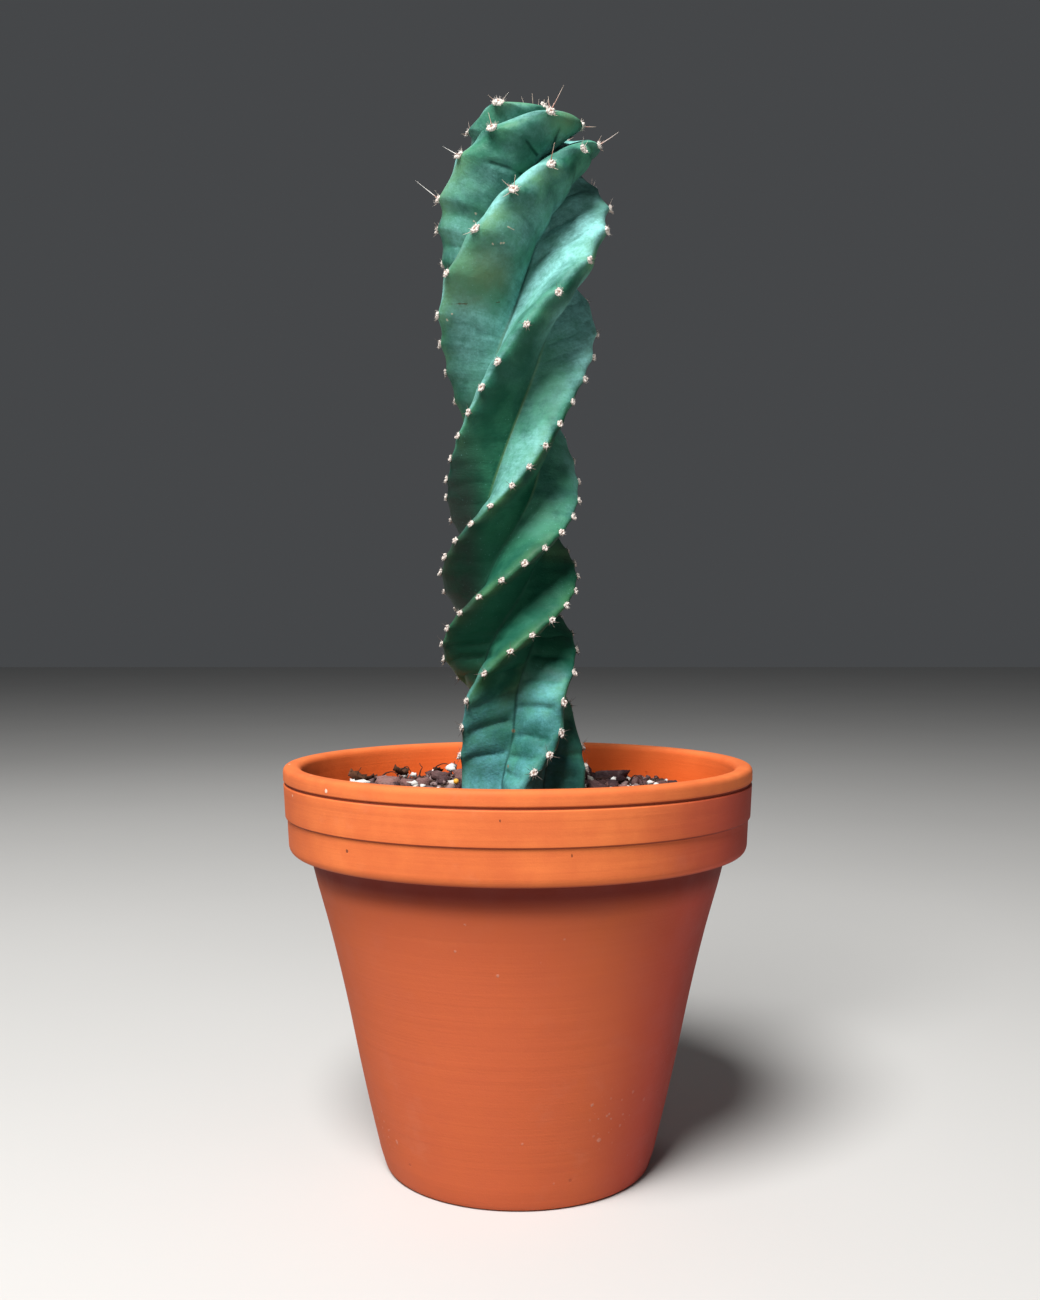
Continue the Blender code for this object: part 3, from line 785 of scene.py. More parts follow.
class StemSettings(bpy.types.PropertyGroup):
    fold_depth: length_setting("Fold Depth", "How deep the soft folds of the flanks are", 0.0013)
    crease_depth: length_setting("Crease Depth", "How deep the creases near the top are", 0.0011)
    unevenness: length_setting("Unevenness", "How far the flanks swell and sink", 0.0007)
    seed: FloatProperty(name="Seed", description="Shifts the unevenness", default=3.0)
    flesh: colour_setting("Flesh", "Blue green of the skin", (0.04, 0.195, 0.106))
    # Dark flesh is the skin's darker patches, and also painted shade on the right flanks and along the folds.
    flesh_dark: colour_setting("Dark Flesh", "Darker patches of the skin", (0.004, 0.072, 0.037))
    crest_green: colour_setting("Crest Green", "Fresher green near the crests", (0.085, 0.205, 0.055))
    bloom: colour_setting("Bloom", "Pale wax on the skin", (0.24, 0.555, 0.53))
    blue_bloom: colour_setting("Blue Bloom", "Bluer wax near the mix", (0.13, 0.43, 0.5))
    valley_line: colour_setting("Valley Line", "Yellow green line in the valleys", (0.3, 0.4, 0.1))
    # The grey skin colour is painted shade on the left side of the middle stem.
    grey_skin: colour_setting("Grey Skin", "Old greyish skin on one side", (0.022, 0.035, 0.03))
    tired: colour_setting("Tired Skin", "Brownish green of older skin", (0.15, 0.225, 0.095))
    # The crease colour is painted shade: it darkens the valleys, the pressed creases and the flanks just
    # under the crests.
    crease: colour_setting("Crease", "Dark green in creases and valleys", (0.002, 0.028, 0.02))
    cork: colour_setting("Cork", "Pale healed scars", (0.55, 0.5, 0.38))
    scab: colour_setting("Scab", "Brown line of a healed scratch", (0.07, 0.045, 0.02))
    knot: colour_setting("Knot", "Small brown knots in a valley", (0.4, 0.22, 0.12))


class CACTUS_OT_stem(bpy.types.Operator):
    """Makes the ribbed, twisted stem"""

    bl_idname = "cactus.stem"
    bl_label = "Stem"

    def execute(self, context):
        settings = context.scene.cactus_stem
        guide, levels = skin_guide()
        creases = crease_guide()
        values = from_settings(settings, "Fold Depth", "Crease Depth", "Unevenness", "Seed")
        values.update({"Levels": levels, "Half Rib Columns": HALF_RIB_COLUMNS})
        values.update({"Creases": creases, "Skin": skin_material(settings)})
        skin = grow("stem_skin", skin_tree(), guide, values)
        bpy.data.objects.remove(creases)
        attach(skin, BODY)
        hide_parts("cactus_stem")
        return {"FINISHED"}


# Felt pads and spines


# The seeds of all that is drawn at random on the areoles, and the felt pads' size at each quarter turn
PAD_SEED = 5
FELT_SEED = 4
SPINE_ROWS_SEED = 23
SPINE_SEED = 9
FELT_SIZES = ((0, 0.9), (1.2, 0.75), (3.5, 0.78), (5, 1.05), (8, 1.3))


def areole_guide():
    """A point on each areole, with its directions and its size."""
    places = []
    values = {"along": [], "across": [], "outward": [], "size": []}
    rng = random.Random(PAD_SEED)
    for form, rib, _ in areoles():
        place, *directions = areole_frame(form, rib)
        places.append(place)
        for name, direction in zip(("along", "across", "outward"), directions):
            values[name].append(direction)
        values["size"].append(rng.uniform(0.85, 1.1) * on_straight_lines(FELT_SIZES, form.turns))
    return points_mesh("areole_guide", places, values)


def facing(g, outward, along):
    """A rotation that turns Z outward and X along."""
    sockets = {"Rotation": g.turned(outward), "Vector": along}
    return g.node("FunctionNodeAlignRotationToVector", {"axis": "X", "pivot_axis": "Z"}, sockets)


def felt_tree():
    """A woolly oval pad on each areole, with tufts on its edge and short hairs all round it."""
    g, points, given = geometry_tree("Felt pads", {
        "Pad Length": "Float", "Pad Width": "Float", "Pad Height": "Float", "Tufts": "Int", "Hairs": "Int",
        "Hair Length": "Float", "Hair Radius": "Float", "Seed": "Int", "Felt": "Material",
    })
    seed = given["Seed"]
    size = g.stored("size")
    along, across, outward = (g.stored(name, "FLOAT_VECTOR") for name in ("along", "across", "outward"))
    half_length = size * given["Pad Length"]
    half_width = size * given["Pad Width"]

    def on_pad(turn, reach):
        """A place on the pad's oval, at a share of its size from the middle."""
        long_part = g.scaled(along, g.maths("COSINE", turn) * reach * half_length)
        side_part = g.scaled(across, g.maths("SINE", turn) * reach * half_width)
        return g.vector("ADD", long_part, side_part)

    ball = g.node("GeometryNodeMeshIcoSphere", None, {"Radius": 1.0, "Subdivisions": 2}, "Mesh")
    x, y, _ = g.split(g.node("GeometryNodeInputPosition"))
    ball = g.store(ball, "spread", g.radius(x, y))
    pad_scale = g.combine(half_length, half_width, given["Pad Height"] * size)
    pads = g.real(g.on_points(points, ball, facing(g, outward, along), pad_scale))

    rim = on_pad(g.random(0.0, FULL_TURN, seed + 5), g.random(0.5, 1.0, seed + 6))
    raised = g.scaled(outward, g.random(0.1, 0.9, seed + 7) * given["Pad Height"])
    tufts = g.moved(g.copies(points, given["Tufts"]), g.vector("ADD", rim, raised))
    tuft = g.node("GeometryNodeMeshIcoSphere", None, {"Radius": 1.0, "Subdivisions": 1}, "Mesh")
    tuft_size = g.random(0.2, 0.46, seed + 8) * half_width
    tuft_scale = g.combine(tuft_size * 1.3, tuft_size, tuft_size * 0.9)
    tufts = g.on_points(tufts, g.store(tuft, "spread", 1.0), facing(g, outward, along), tuft_scale)
    pads = g.joined(pads, g.real(tufts))
    wool = (g.noise(g.node("GeometryNodeInputPosition"), 1300.0, 2.0, 0.8) - 0.45) * given["Pad Height"] * 1.8
    pads = g.moved(pads, g.scaled(g.node("GeometryNodeInputNormal"), wool))

    turn = g.random(0.0, FULL_TURN, seed)
    hairs = g.moved(g.copies(points, given["Hairs"]), on_pad(turn, g.random(0.1, 0.95, seed + 2)))
    long_part = g.scaled(along, g.maths("COSINE", turn))
    sideways = g.vector("ADD", long_part, g.scaled(across, g.maths("SINE", turn)))
    direction = g.vector("ADD", sideways, g.scaled(outward, g.random(0.25, 2.0, seed + 1)))
    hair_length = given["Hair Length"] * g.random(0.5, 1.25, seed + 3) * size
    sockets = {"Vertices": 3, "Side Segments": 1, "Radius Top": 0.25, "Radius Bottom": 1.0, "Depth": 1.0}
    cone = g.node("GeometryNodeMeshCone", {"fill_type": "NGON"}, sockets, "Mesh")
    scale = g.combine(given["Hair Radius"], given["Hair Radius"], hair_length)
    hairs = g.on_points(hairs, g.store(cone, "spread", 1.0), g.turned(direction), scale)
    return end_tree(g, g.joined(pads, hairs), given["Felt"])


def felt_material(settings):
    material, g, shader, place = new_material("areole_felt")
    spread = g.attribute("spread")
    cloudy = g.noise(place, 1400.0, 3.0, 0.7)
    centre = g.smooth(spread + cloudy * 0.5, 0.5, 0.85, 1.0, 0.0)
    base = g.mix(g.smooth(cloudy, 0.3, 0.7), settings.felt_shade, settings.felt)
    base = g.mix(centre * 0.9, base, settings.felt_centre)
    finish_shader(g, shader, base, 0.95, ((cloudy, 0.6, 0.0004),), 0.2)
    shader.inputs["Sheen Weight"].default_value = 0.3
    return material


# The spines' number and length in mm at each quarter turn
SPINE_COUNTS = ((0, 7), (1, 6), (1.6, 5), (3.4, 5), (4.5, 6), (5.2, 5), (8, 4))
SPINE_LENGTHS = ((0, 4.8), (1, 4.0), (1.6, 2.9), (3.2, 2.8), (4.2, 3.4), (5.2, 4.2), (8, 5.2))
# Quarter turns at which the spines stop being old and are all young
OLD_BELOW = 4.2
YOUNG_ABOVE = 5.4
# How far a spine starts under the skin and beside the areole's middle, and the radii of common, long and
# tip spines, all in metres
SPINE_DEPTH = 0.0006
SPINE_ASIDE = 0.0007
SPINE_RADII = (0.00013, 0.0002)
LONG_SPINE_RADIUS = 0.00027
TIP_SPINE_RADIUS = 0.00026
# The long spines: the areole's rib and number, how far the tip points right, back and up, length
# in mm and how pale it is
LONG_SPINES = (
    (2, 29, (0.48, -0.1, 0.87), 12.5, 0.2),
    (2, 29, (-0.1, 0.1, 1.0), 7.0, 0.1),
    (2, 26, (-0.8, -0.1, 0.58), 13.5, 1.0),
    (2, 27, (-0.88, -0.1, 0.42), 8.5, 1.0),
    (2, 28, (-0.3, -0.2, 1.0), 6.5, 0.2),
    (2, 30, (1.0, -0.1, -0.1), 8.0, 0.1),
    (3, 24, (-0.85, -0.2, -0.45), 6.5, 0.3),
    (3, 25, (-0.75, -0.4, 0.5), 6.5, 0.2),
    (3, 25, (0.15, -0.3, 1.0), 6.0, 0.0),
    (3, 25, (-0.7, -0.3, -0.6), 6.5, 0.2),
    (3, 26, (0.23, -0.35, 0.97), 9.0, 0.0),
    (3, 28, (0.85, -0.1, 0.5), 11.0, 0.5),
    (1, 28, (-0.2, 0.2, 0.6), 4.0, 0.2),
    (0, 26, (0.3, 0.1, 0.9), 4.5, 0.3),
)
# Spines of the growing tip: direction as above and length in mm
TIP_SPINES = (
    ((-0.75, -0.3, 0.75), 15.0),
    ((-0.4, -0.4, 0.9), 14.0),
    ((-0.1, -0.3, 1.0), 14.5),
    ((0.1, -0.5, 1.0), 12.0),
    ((0.35, -0.3, 0.9), 13.0),
    ((-0.55, 0.3, 0.8), 15.0),
    ((0.0, 0.5, 0.9), 13.0),
    ((0.6, 0.3, 0.8), 12.0),
)
Spine = namedtuple("Spine", "place direction length thickness age pale")


def spine_rows(rng):
    """Every spine: those round each areole by a rule, the long ones and those of the tip as listed."""
    rows = []
    for form, rib, number in areoles():
        place, along, across, outward = areole_frame(form, rib)
        age = 1 - min(max((form.turns - OLD_BELOW) / (YOUNG_ABOVE - OLD_BELOW), 0), 1)
        own = [row for row in LONG_SPINES if row[:2] == (rib, number)]
        count = round(on_straight_lines(SPINE_COUNTS, form.turns) + rng.uniform(-1, 1)) - len(own)
        first = rng.uniform(0, 2 * math.pi)
        for k in range(count):
            turn = first + 2 * math.pi * (k + rng.uniform(-0.3, 0.3)) / count
            sideways = along * math.cos(turn) + across * math.sin(turn)
            down = Vector((0, 0, -0.5)) * age
            direction = outward * rng.uniform(0.4, 1.0) + sideways * rng.uniform(0.7, 1.0) + down
            length = on_straight_lines(SPINE_LENGTHS, form.turns) * rng.uniform(0.55, 1.25)
            root = place + sideways * SPINE_ASIDE - outward * SPINE_DEPTH
            radius = rng.uniform(*SPINE_RADII)
            rows.append(Spine(root, direction.normalized(), length * MM, radius, age, rng.uniform(0, 0.5)))
        for _, _, direction, length, pale in own:
            root = place - outward * SPINE_DEPTH
            direction = Vector(direction).normalized()
            rows.append(Spine(root, direction, length * MM, LONG_SPINE_RADIUS, 0.0, pale))
    tip = STEM_FORM[-1]
    for direction, length in TIP_SPINES:
        root = Vector((tip.lean + direction[0] * 3, direction[1] * 3, tip.height - 1)) * MM
        pale = rng.uniform(0, 0.4)
        rows.append(Spine(root, Vector(direction).normalized(), length * MM, TIP_SPINE_RADIUS, 0.0, pale))
    return rows


def spine_guide():
    rows = spine_rows(random.Random(SPINE_ROWS_SEED))
    values = {name: [getattr(row, name) for row in rows] for name in Spine._fields[1:]}
    return points_mesh("spine_guide", [row.place for row in rows], values)


def spine_tree():
    """A slightly bent needle at each point."""
    g, points, given = geometry_tree("Spines", {"Bend": "Float", "Seed": "Int", "Spine": "Material"})
    sockets = {"Vertices": 5, "Side Segments": 4, "Radius Top": 0.08, "Radius Bottom": 1.0, "Depth": 1.0}
    cone = g.node("GeometryNodeMeshCone", {"fill_type": "TRIANGLE_FAN"}, sockets, "Mesh")
    _, _, z = g.split(g.node("GeometryNodeInputPosition"))
    sockets = {"Axis": (0, 0, 1), "Angle": g.random(0.0, FULL_TURN, given["Seed"])}
    spun = g.node("FunctionNodeAxisAngleToRotation", None, sockets)
    sockets = {"Rotation": g.turned(g.stored("direction", "FLOAT_VECTOR")), "Rotate By": spun}
    rotation = g.node("FunctionNodeRotateRotation", {"rotation_space": "LOCAL"}, sockets)
    scale = g.combine(g.stored("thickness"), g.stored("thickness"), g.stored("length"))
    needles = g.real(g.on_points(points, g.store(cone, "tip", z), rotation, scale))
    tip = g.stored("tip")
    bent = g.combine(0.0, 0.0, tip * tip * given["Bend"])
    return end_tree(g, g.moved(needles, bent), given["Spine"])


def spine_material(settings):
    material, g, shader, place = new_material("spine_horn")
    tip = g.attribute("tip")
    age = g.attribute("age")
    young = g.mix(g.smooth(tip, 0.35, 0.9), settings.spine_root, settings.spine_tip)
    old = g.mix(g.smooth(tip, 0.2, 0.7), settings.spine_old, settings.spine_old_tip)
    young = g.mix(g.attribute("pale") * g.smooth(tip, 0.1, 0.35), young, settings.spine_white)
    base = g.mix(g.smooth(age, 0.2, 0.8), young, old)
    rings = g.noise(place, 1800.0, 2.0)
    base = g.mix(g.smooth(rings, 0.45, 0.7) * 0.3, base, settings.spine_tip)
    finish_shader(g, shader, base, 0.45, ((rings, 0.2, 0.0002),))
    return material


class AreoleSettings(bpy.types.PropertyGroup):
    pad_length: length_setting("Pad Length", "Half length of a felt pad", 0.0019)
    pad_width: length_setting("Pad Width", "Half width of a felt pad", 0.0015)
    pad_height: length_setting("Pad Height", "Rise of a felt pad", 0.0008)
    tufts: IntProperty(name="Tufts", description="Woolly tufts round each felt pad", default=11)
    hairs: IntProperty(name="Hairs", description="Hairs round each felt pad", default=64)
    hair_length: length_setting("Hair Length", "Length of a hair", 0.0015)
    hair_radius: length_setting("Hair Radius", "Radius of a hair", 0.00008)
    bend: length_setting("Spine Bend", "How far a spine's tip bends up", 0.0004)
    felt: colour_setting("Felt", "White wool", (0.85, 0.8, 0.74))
    felt_shade: colour_setting("Felt Shade", "Greyer wool", (0.5, 0.4, 0.35))
    felt_centre: colour_setting("Felt Centre", "Brown middle of a pad", (0.2, 0.09, 0.055))
    spine_root: colour_setting("Spine Root", "Red brown of a young spine", (0.32, 0.07, 0.03))
    spine_tip: colour_setting("Spine Tip", "Pale end of a young spine", (0.75, 0.58, 0.45))
    spine_white: colour_setting("White Spine", "A spine that has dried white", (0.82, 0.8, 0.76))
    spine_old: colour_setting("Old Spine", "Grey brown of an old spine", (0.2, 0.15, 0.12))
    spine_old_tip: colour_setting("Old Spine Tip", "Dark end of an old spine", (0.05, 0.035, 0.03))


class CACTUS_OT_felt(bpy.types.Operator):
    """Makes the felt pads of the areoles"""

    bl_idname = "cactus.felt"
    bl_label = "Felt Pads"

    def execute(self, context):
        settings = context.scene.cactus_areoles
        values = from_settings(
            settings, "Pad Length", "Pad Width", "Pad Height", "Tufts", "Hairs", "Hair Length", "Hair Radius"
        )
        values.update({"Seed": FELT_SEED, "Felt": felt_material(settings)})
        felt = grow("felt_pads", felt_tree(), areole_guide(), values)
        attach(felt, BODY)
        return {"FINISHED"}


class CACTUS_OT_spines(bpy.types.Operator):
    """Makes the spines"""

    bl_idname = "cactus.spines"
    bl_label = "Spines"

    def execute(self, context):
        settings = context.scene.cactus_areoles
        values = {"Bend": settings.bend, "Seed": SPINE_SEED, "Spine": spine_material(settings)}
        spines = grow("spines", spine_tree(), spine_guide(), values)
        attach(spines, BODY)
        return {"FINISHED"}


# The clay pot


# Marks on the clay, each as a place and a radius in mm: white salt
SALT_MARKS = (
    (-77.2, -71.3, 176.7, 1.1),
    (-61.2, -27.0, 27.6, 1.0),
    (-51.7, -40.5, 22.2, 1.2),
    (30.5, -64.1, 46.5, 0.9),
    (33.7, -58.1, 29.7, 1.3),
    (48.3, -52.4, 47.9, 0.9),
    (53.5, -45.1, 42.3, 1.1),
)
# Where salt has come through in fine grains
SALT_PATCHES = ((40.0, -58.0, 38.0, 17.0), (-58.0, -34.0, 26.0, 13.0), (62.0, -38.0, 60.0, 12.0))
# Dark pits, and a dark scratch as a line
DARK_MARKS = (
    (64.6, 70.6, 167.8, 1.2),
    (-45.8, -44.1, 13.7, 1.0),
    (78.1, -49.5, 138.2, 1.1),
    (-6.6, -104.6, 169.5, 0.5),
)
CLAY_SCRATCH = ((21.4, -101.8, 158.4), (20.8, -101.6, 157.0), (20.9, -101.0, 155.2))
# The outside from the foot to under the rim, as (height, radius) in mm
POT_BODY = ((9, 62.4), (15, 63.8), (30, 67.3), (50, 71.7), (80, 77.9), (110, 84.9), (134, 91.6))
# Corners of the rim, lip and inside, as radius, height and rounding in mm
POT_RIM = (
    (93.6, 142.3, 1.2),
    (102.6, 142.8, 6.0),
    (103.4, 158.4, 0.3),
    (104.3, 158.9, 0.5),
    (105.0, 173.0, 0.5),
    (104.2, 173.6, 0.3),
    (104.3, 174.4, 0.3),
    (105.1, 174.9, 0.4),
    (105.2, 181.0, 4.2),
    (97.3, 181.0, 3.6),
    (94.0, 154.0, 8.0),
    (84.0, 136.0, 8.0),
    (60.0, 30.0, 20.0),
    (52.5, 9.0, 6.0),
    (11.0, 9.0, 1.2),
    (11.0, 0.0, 1.2),
)
POT_FOOT = ((59.6, 0.0, 3.2),)
POT_SEGMENTS = 192


def rounded(corners):
    """A closed outline through corners given as (radius, height, rounding)."""
    outline = []
    count = len(corners)
    for i, (radius, height, rounding) in enumerate(corners):
        corner = Vector((radius, height))
        before = Vector(corners[i - 1][:2]) - corner
        after = Vector(corners[(i + 1) % count][:2]) - corner
        half = before.angle(after) / 2
        cut = min(rounding / math.tan(half), before.length * 0.45, after.length * 0.45) if rounding else 0
        if cut < 0.02:
            outline.append(corner)
            continue
        start = corner + before.normalized() * cut
        end = corner + after.normalized() * cut
        steps = max(3, round(cut * (math.pi - 2 * half) / 0.7))
        for k in range(steps + 1):
            t = k / steps
            outline.append(start * (1 - t) ** 2 + corner * 2 * t * (1 - t) + end * t * t)
    return outline


def with_spacing(outline, spacing):
    """The same outline with points added so that none are further apart than the spacing."""
    filled = []
    for start, end in zip(outline, outline[1:] + outline[:1]):
        steps = max(1, math.ceil((end - start).length / spacing))
        filled += [start.lerp(end, k / steps) for k in range(steps)]
    return filled


def pot_outline():
    """The pot's closed outline in mm, up the outside, over the lip and down the inside."""
    heights = [row[0] for row in POT_BODY]
    radii = [row[1] for row in POT_BODY]
    rise = slopes(heights, radii)
    body = []
    for i in range(len(heights) - 1):
        step = heights[i + 1] - heights[i]
        for k in range(4):
            t = k / 4
            ease = t * t * (3 - 2 * t)
            bend = t * (1 - t) * ((1 - t) * rise[i] - t * rise[i + 1]) * step
            body.append((radii[i] + (radii[i + 1] - radii[i]) * ease + bend, heights[i] + step * t, 0))
    return with_spacing(rounded(list(POT_FOOT) + body + list(POT_RIM)), 3.0)


def pot_mesh(settings):
    """The outline turned round the axis, with the small unevenness of a moulded pot."""
    outline = pot_outline()
    bm = bmesh.new()
    rings = []
    for i in range(POT_SEGMENTS):
        angle = 2 * math.pi * i / POT_SEGMENTS
        direction = Vector((math.cos(angle), math.sin(angle), 0))
        ring = []
        for radius, height in outline:
            place = direction * radius * MM + Vector((0, 0, height * MM))
            uneven = noise.noise(place * 22) * settings.unevenness
            standing = min(height / 4, 1)
            ring.append(bm.verts.new(place + direction * uneven * standing))
        rings.append(ring)
    for ring, after in zip(rings, rings[1:] + rings[:1]):
        for k in range(len(outline)):
            j = (k + 1) % len(outline)
            bm.faces.new((ring[k], after[k], after[j], ring[j]))
    bmesh.ops.recalc_face_normals(bm, faces=bm.faces)
    for face in bm.faces:
        face.smooth = True
    return mesh_of(bm, "clay_pot")


def clay_material(settings):
    material, g, shader, place = new_material("terracotta")
    x, y, z = g.split(place)
    radius = g.radius(x, y)
    cloudy = g.noise(place, 14.0, 3.0, 0.55)
    mottled = g.noise(place, 75.0, 5.0, 0.62)
    grain = g.noise(place, 1300.0, 3.0, 0.7)
    turning = g.noise(g.combine(x * 8, y * 8, z * 420 + radius * 60), 1.0, 4.0, 0.6)
    base = g.mix(g.smooth(mottled, 0.3, 0.7), settings.clay, settings.clay_warm)
    base = g.mix(g.smooth(cloudy, 0.42, 0.66) * 0.28, base, settings.clay_dark)
    base = g.mix(g.smooth(turning, 0.42, 0.62) * 0.16, base, settings.clay_dark)
    dusty = g.smooth(g.noise(place, 33.0, 4.0, 0.7), 0.56, 0.74) * g.smooth(z, 0.02, 0.12, 1.0, 0.35)
    base = g.mix(dusty * 0.1, base, settings.salt)
    cell = g.cells(place, 95.0)
    salt = g.smooth(cell + grain * 0.1, 0.09, 0.13, 1.0, 0.0) * g.smooth(g.noise(place, 17.0, 2.0), 0.53, 0.6)
    ragged = (grain - 0.5) * 0.0014
    salt = g.maths("MAXIMUM", salt, spots(g, place, SALT_MARKS, ragged, 0.5))
    grains = g.cells(place, 330.0)
    crust = g.smooth(grains + grain * 0.2, 0.24, 0.32, 1.0, 0.0)
    salt = g.maths("MAXIMUM", salt, crust * spots(g, place, SALT_PATCHES, ragged * 6, 0.2))
    base = g.mix(salt * 0.75, base, settings.salt)
    pit = g.cells(place, 61.0)
    pits = g.smooth(pit + grain * 0.06, 0.06, 0.085, 1.0, 0.0)
    pits = pits * g.smooth(g.noise(place, 11.0, 2.0), 0.5, 0.58)
    pits = g.maths("MAXIMUM", pits, spots(g, place, DARK_MARKS, ragged, 0.4))
    pits = g.maths("MAXIMUM", pits, scratch(g, place, CLAY_SCRATCH, 0.0004, ragged * 0.2))
    base = g.mix(pits * 0.8, base, settings.pit)
    base = g.mix(g.smooth(z, 0.136, 0.146, 0.55, 0.0), base, settings.clay_red)
    inner = g.smooth(radius, 0.0955, 0.099, 1.0, 0.0) * g.smooth(z, 0.14, 0.15)
    base = g.mix(inner * 0.8, base, settings.clay_deep)
    # The body below the rim is darker, fading out just under the rim.
    darker_body = g.smooth(radius, 0.088, 0.094, 1.0, 0.0) * g.smooth(z, 0.16, 0.172, 1.0, 0.0)
    base = g.mix(darker_body * 0.5, base, settings.clay_dark)
    # Painted shade: the right side of the rim and body, which faces away from the light, is darkened to deep
    # red, and nearly black at the far right.
    rim_side = g.smooth(radius, 0.098, 0.1) * g.smooth(z, 0.1725, 0.1765, 1.0, 0.0)
    outside = g.maths("MAXIMUM", rim_side, g.smooth(z, 0.146, 0.15, 1.0, 0.0))
    base = g.mix(g.smooth(x / radius, 0.35, 0.95) * outside * 0.85, base, settings.clay_wine)
    base = g.mix(g.smooth(x / radius, 0.76, 0.98) * outside * 0.45, base, settings.clay_shadow)
    # Painted shade on the far left edge of the rim and body, which turns away from the light.
    base = g.mix(g.smooth(x / radius, -0.7, -0.95) * outside * 0.45, base, settings.clay_dark)
    under_rim = g.smooth(z, 0.1255, 0.1385) * g.smooth(z, 0.1425, 0.1445, 1.0, 0.0)
    step = g.smooth(abs(z - 0.15865), 0.0002, 0.0006, 1.0, 0.0)
    groove = g.smooth(abs(z - 0.174), 0.0004, 0.0008, 1.0, 0.0)
    lines = g.maths("MAXIMUM", step, groove) * g.smooth(radius, 0.098, 0.1) * 0.75
    base = g.mix(g.maths("MAXIMUM", under_rim * 0.95, lines), base, settings.clay_shadow)
    bumps = (
        (mottled, 0.2, 0.0008),
        (turning, 0.35, 0.0004),
        (grain, 0.35, 0.0002),
        (salt - pits, 0.5, 0.0003),
    )
    finish_shader(g, shader, base, g.smooth(mottled, 0.3, 0.7, 0.72, 0.86), bumps, 0.28)
    return material


class PotSettings(bpy.types.PropertyGroup):
    unevenness: length_setting("Unevenness", "How far the wall strays from a true round", 0.00025)
    clay: colour_setting("Clay", "Fired clay", (0.66, 0.145, 0.038))
    clay_warm: colour_setting("Warm Clay", "Brighter patches", (0.72, 0.175, 0.046))
    # Dark clay is used for darker patches and turning marks, and also as painted shade on the far left edge.
    clay_dark: colour_setting("Dark Clay", "Darker patches and turning marks", (0.47, 0.085, 0.022))
    clay_red: colour_setting("Red Clay", "Redder clay below the rim", (0.53, 0.105, 0.055))
    clay_deep: colour_setting("Deep Clay", "Stronger orange of the inside", (0.85, 0.115, 0.012))
    # The wine clay colour is painted shade on the right side of the pot.
    clay_wine: colour_setting("Wine Clay", "Dark red clay on one side", (0.42, 0.045, 0.035))
    clay_shadow: colour_setting("Clay Shadow", "Nearly black red under the rim", (0.13, 0.01, 0.005))
    salt: colour_setting("Salt", "White salt specks", (0.8, 0.72, 0.6))
    pit: colour_setting("Pits", "Dark pits", (0.12, 0.03, 0.015))


class CACTUS_OT_pot(bpy.types.Operator):
    """Makes the clay pot"""

    bl_idname = "cactus.pot"
    bl_label = "Clay Pot"

    def execute(self, context):
        settings = context.scene.cactus_pot
        mesh = pot_mesh(settings)
        mesh.materials.append(clay_material(settings))
        pot = new_object("clay_pot", mesh)
        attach(pot, BODY)
        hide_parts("pot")
        return {"FINISHED"}


# The potting mix


MIX_LEVEL = 0.1655
MIX_OUTLINE = ((0.0522, 0.0093), (0.0597, 0.03), (0.0837, 0.136), (0.0937, 0.154), (0.0948, 0.1625))
# No strewn piece lies within this many metres of the axis, inside the stem
STEM_CORE = 0.013
MIX_RINGS = 46
MIX_SEGMENTS = 128


def mix_height(x, y):
    """The surface of the mix at a place: uneven."""
    spot = Vector((x, y, 0))
    coarse = noise.noise(spot * 45) * 0.0018
    fine = noise.noise(spot * 190) * 0.0011 + noise.noise(spot * 420) * 0.0006
    return MIX_LEVEL + coarse + fine


def mix_mesh():
    """The bed of fine mix, closed down to the pot's floor."""
    bm = bmesh.new()
    rings = []
    edge = MIX_OUTLINE[-1][0]
    shape = list(MIX_OUTLINE)
    shape += [(edge * (1 - k / MIX_RINGS), None) for k in range(1, MIX_RINGS)]
    for radius, height in shape:
        ring = []
        for i in range(MIX_SEGMENTS):
            angle = 2 * math.pi * i / MIX_SEGMENTS
            x = radius * math.cos(angle)
            y = radius * math.sin(angle)
            ring.append(bm.verts.new((x, y, mix_height(x, y) if height is None else height)))
        rings.append(ring)
    for low, high in zip(rings, rings[1:]):
        for i in range(MIX_SEGMENTS):
            j = (i + 1) % MIX_SEGMENTS
            bm.faces.new((low[i], low[j], high[j], high[i]))
    for ring, height, turned in ((rings[0], MIX_OUTLINE[0][1], -1), (rings[-1], mix_height(0, 0), 1)):
        middle = bm.verts.new((0, 0, height))
        for i in range(MIX_SEGMENTS):
            j = (i + 1) % MIX_SEGMENTS
            corners = (ring[i], ring[j], middle)
            bm.faces.new(corners[::turned])
    for face in bm.faces:
        face.smooth = True
    return mesh_of(bm, "mix_bed")


def mix_material(settings):
    material, g, shader, place = new_material("fine_mix")
    crumbs = g.noise(place, 420.0, 5.0, 0.7)
    cloudy = g.noise(place, 60.0, 3.0)
    cell = g.cells(place, 650.0)
    base = g.mix(g.smooth(crumbs, 0.35, 0.65), settings.soil_dark, settings.soil)
    base = g.mix(g.smooth(cloudy, 0.5, 0.7) * 0.4, base, settings.bark)
    base = g.mix(g.smooth(g.noise(place, 900.0, 1.0), 0.68, 0.74) * 0.6, base, settings.perlite)
    finish_shader(g, shader, base, 0.95, ((cell, 0.8, 0.001), (crumbs, 0.8, 0.001)), 0.2)
    return material


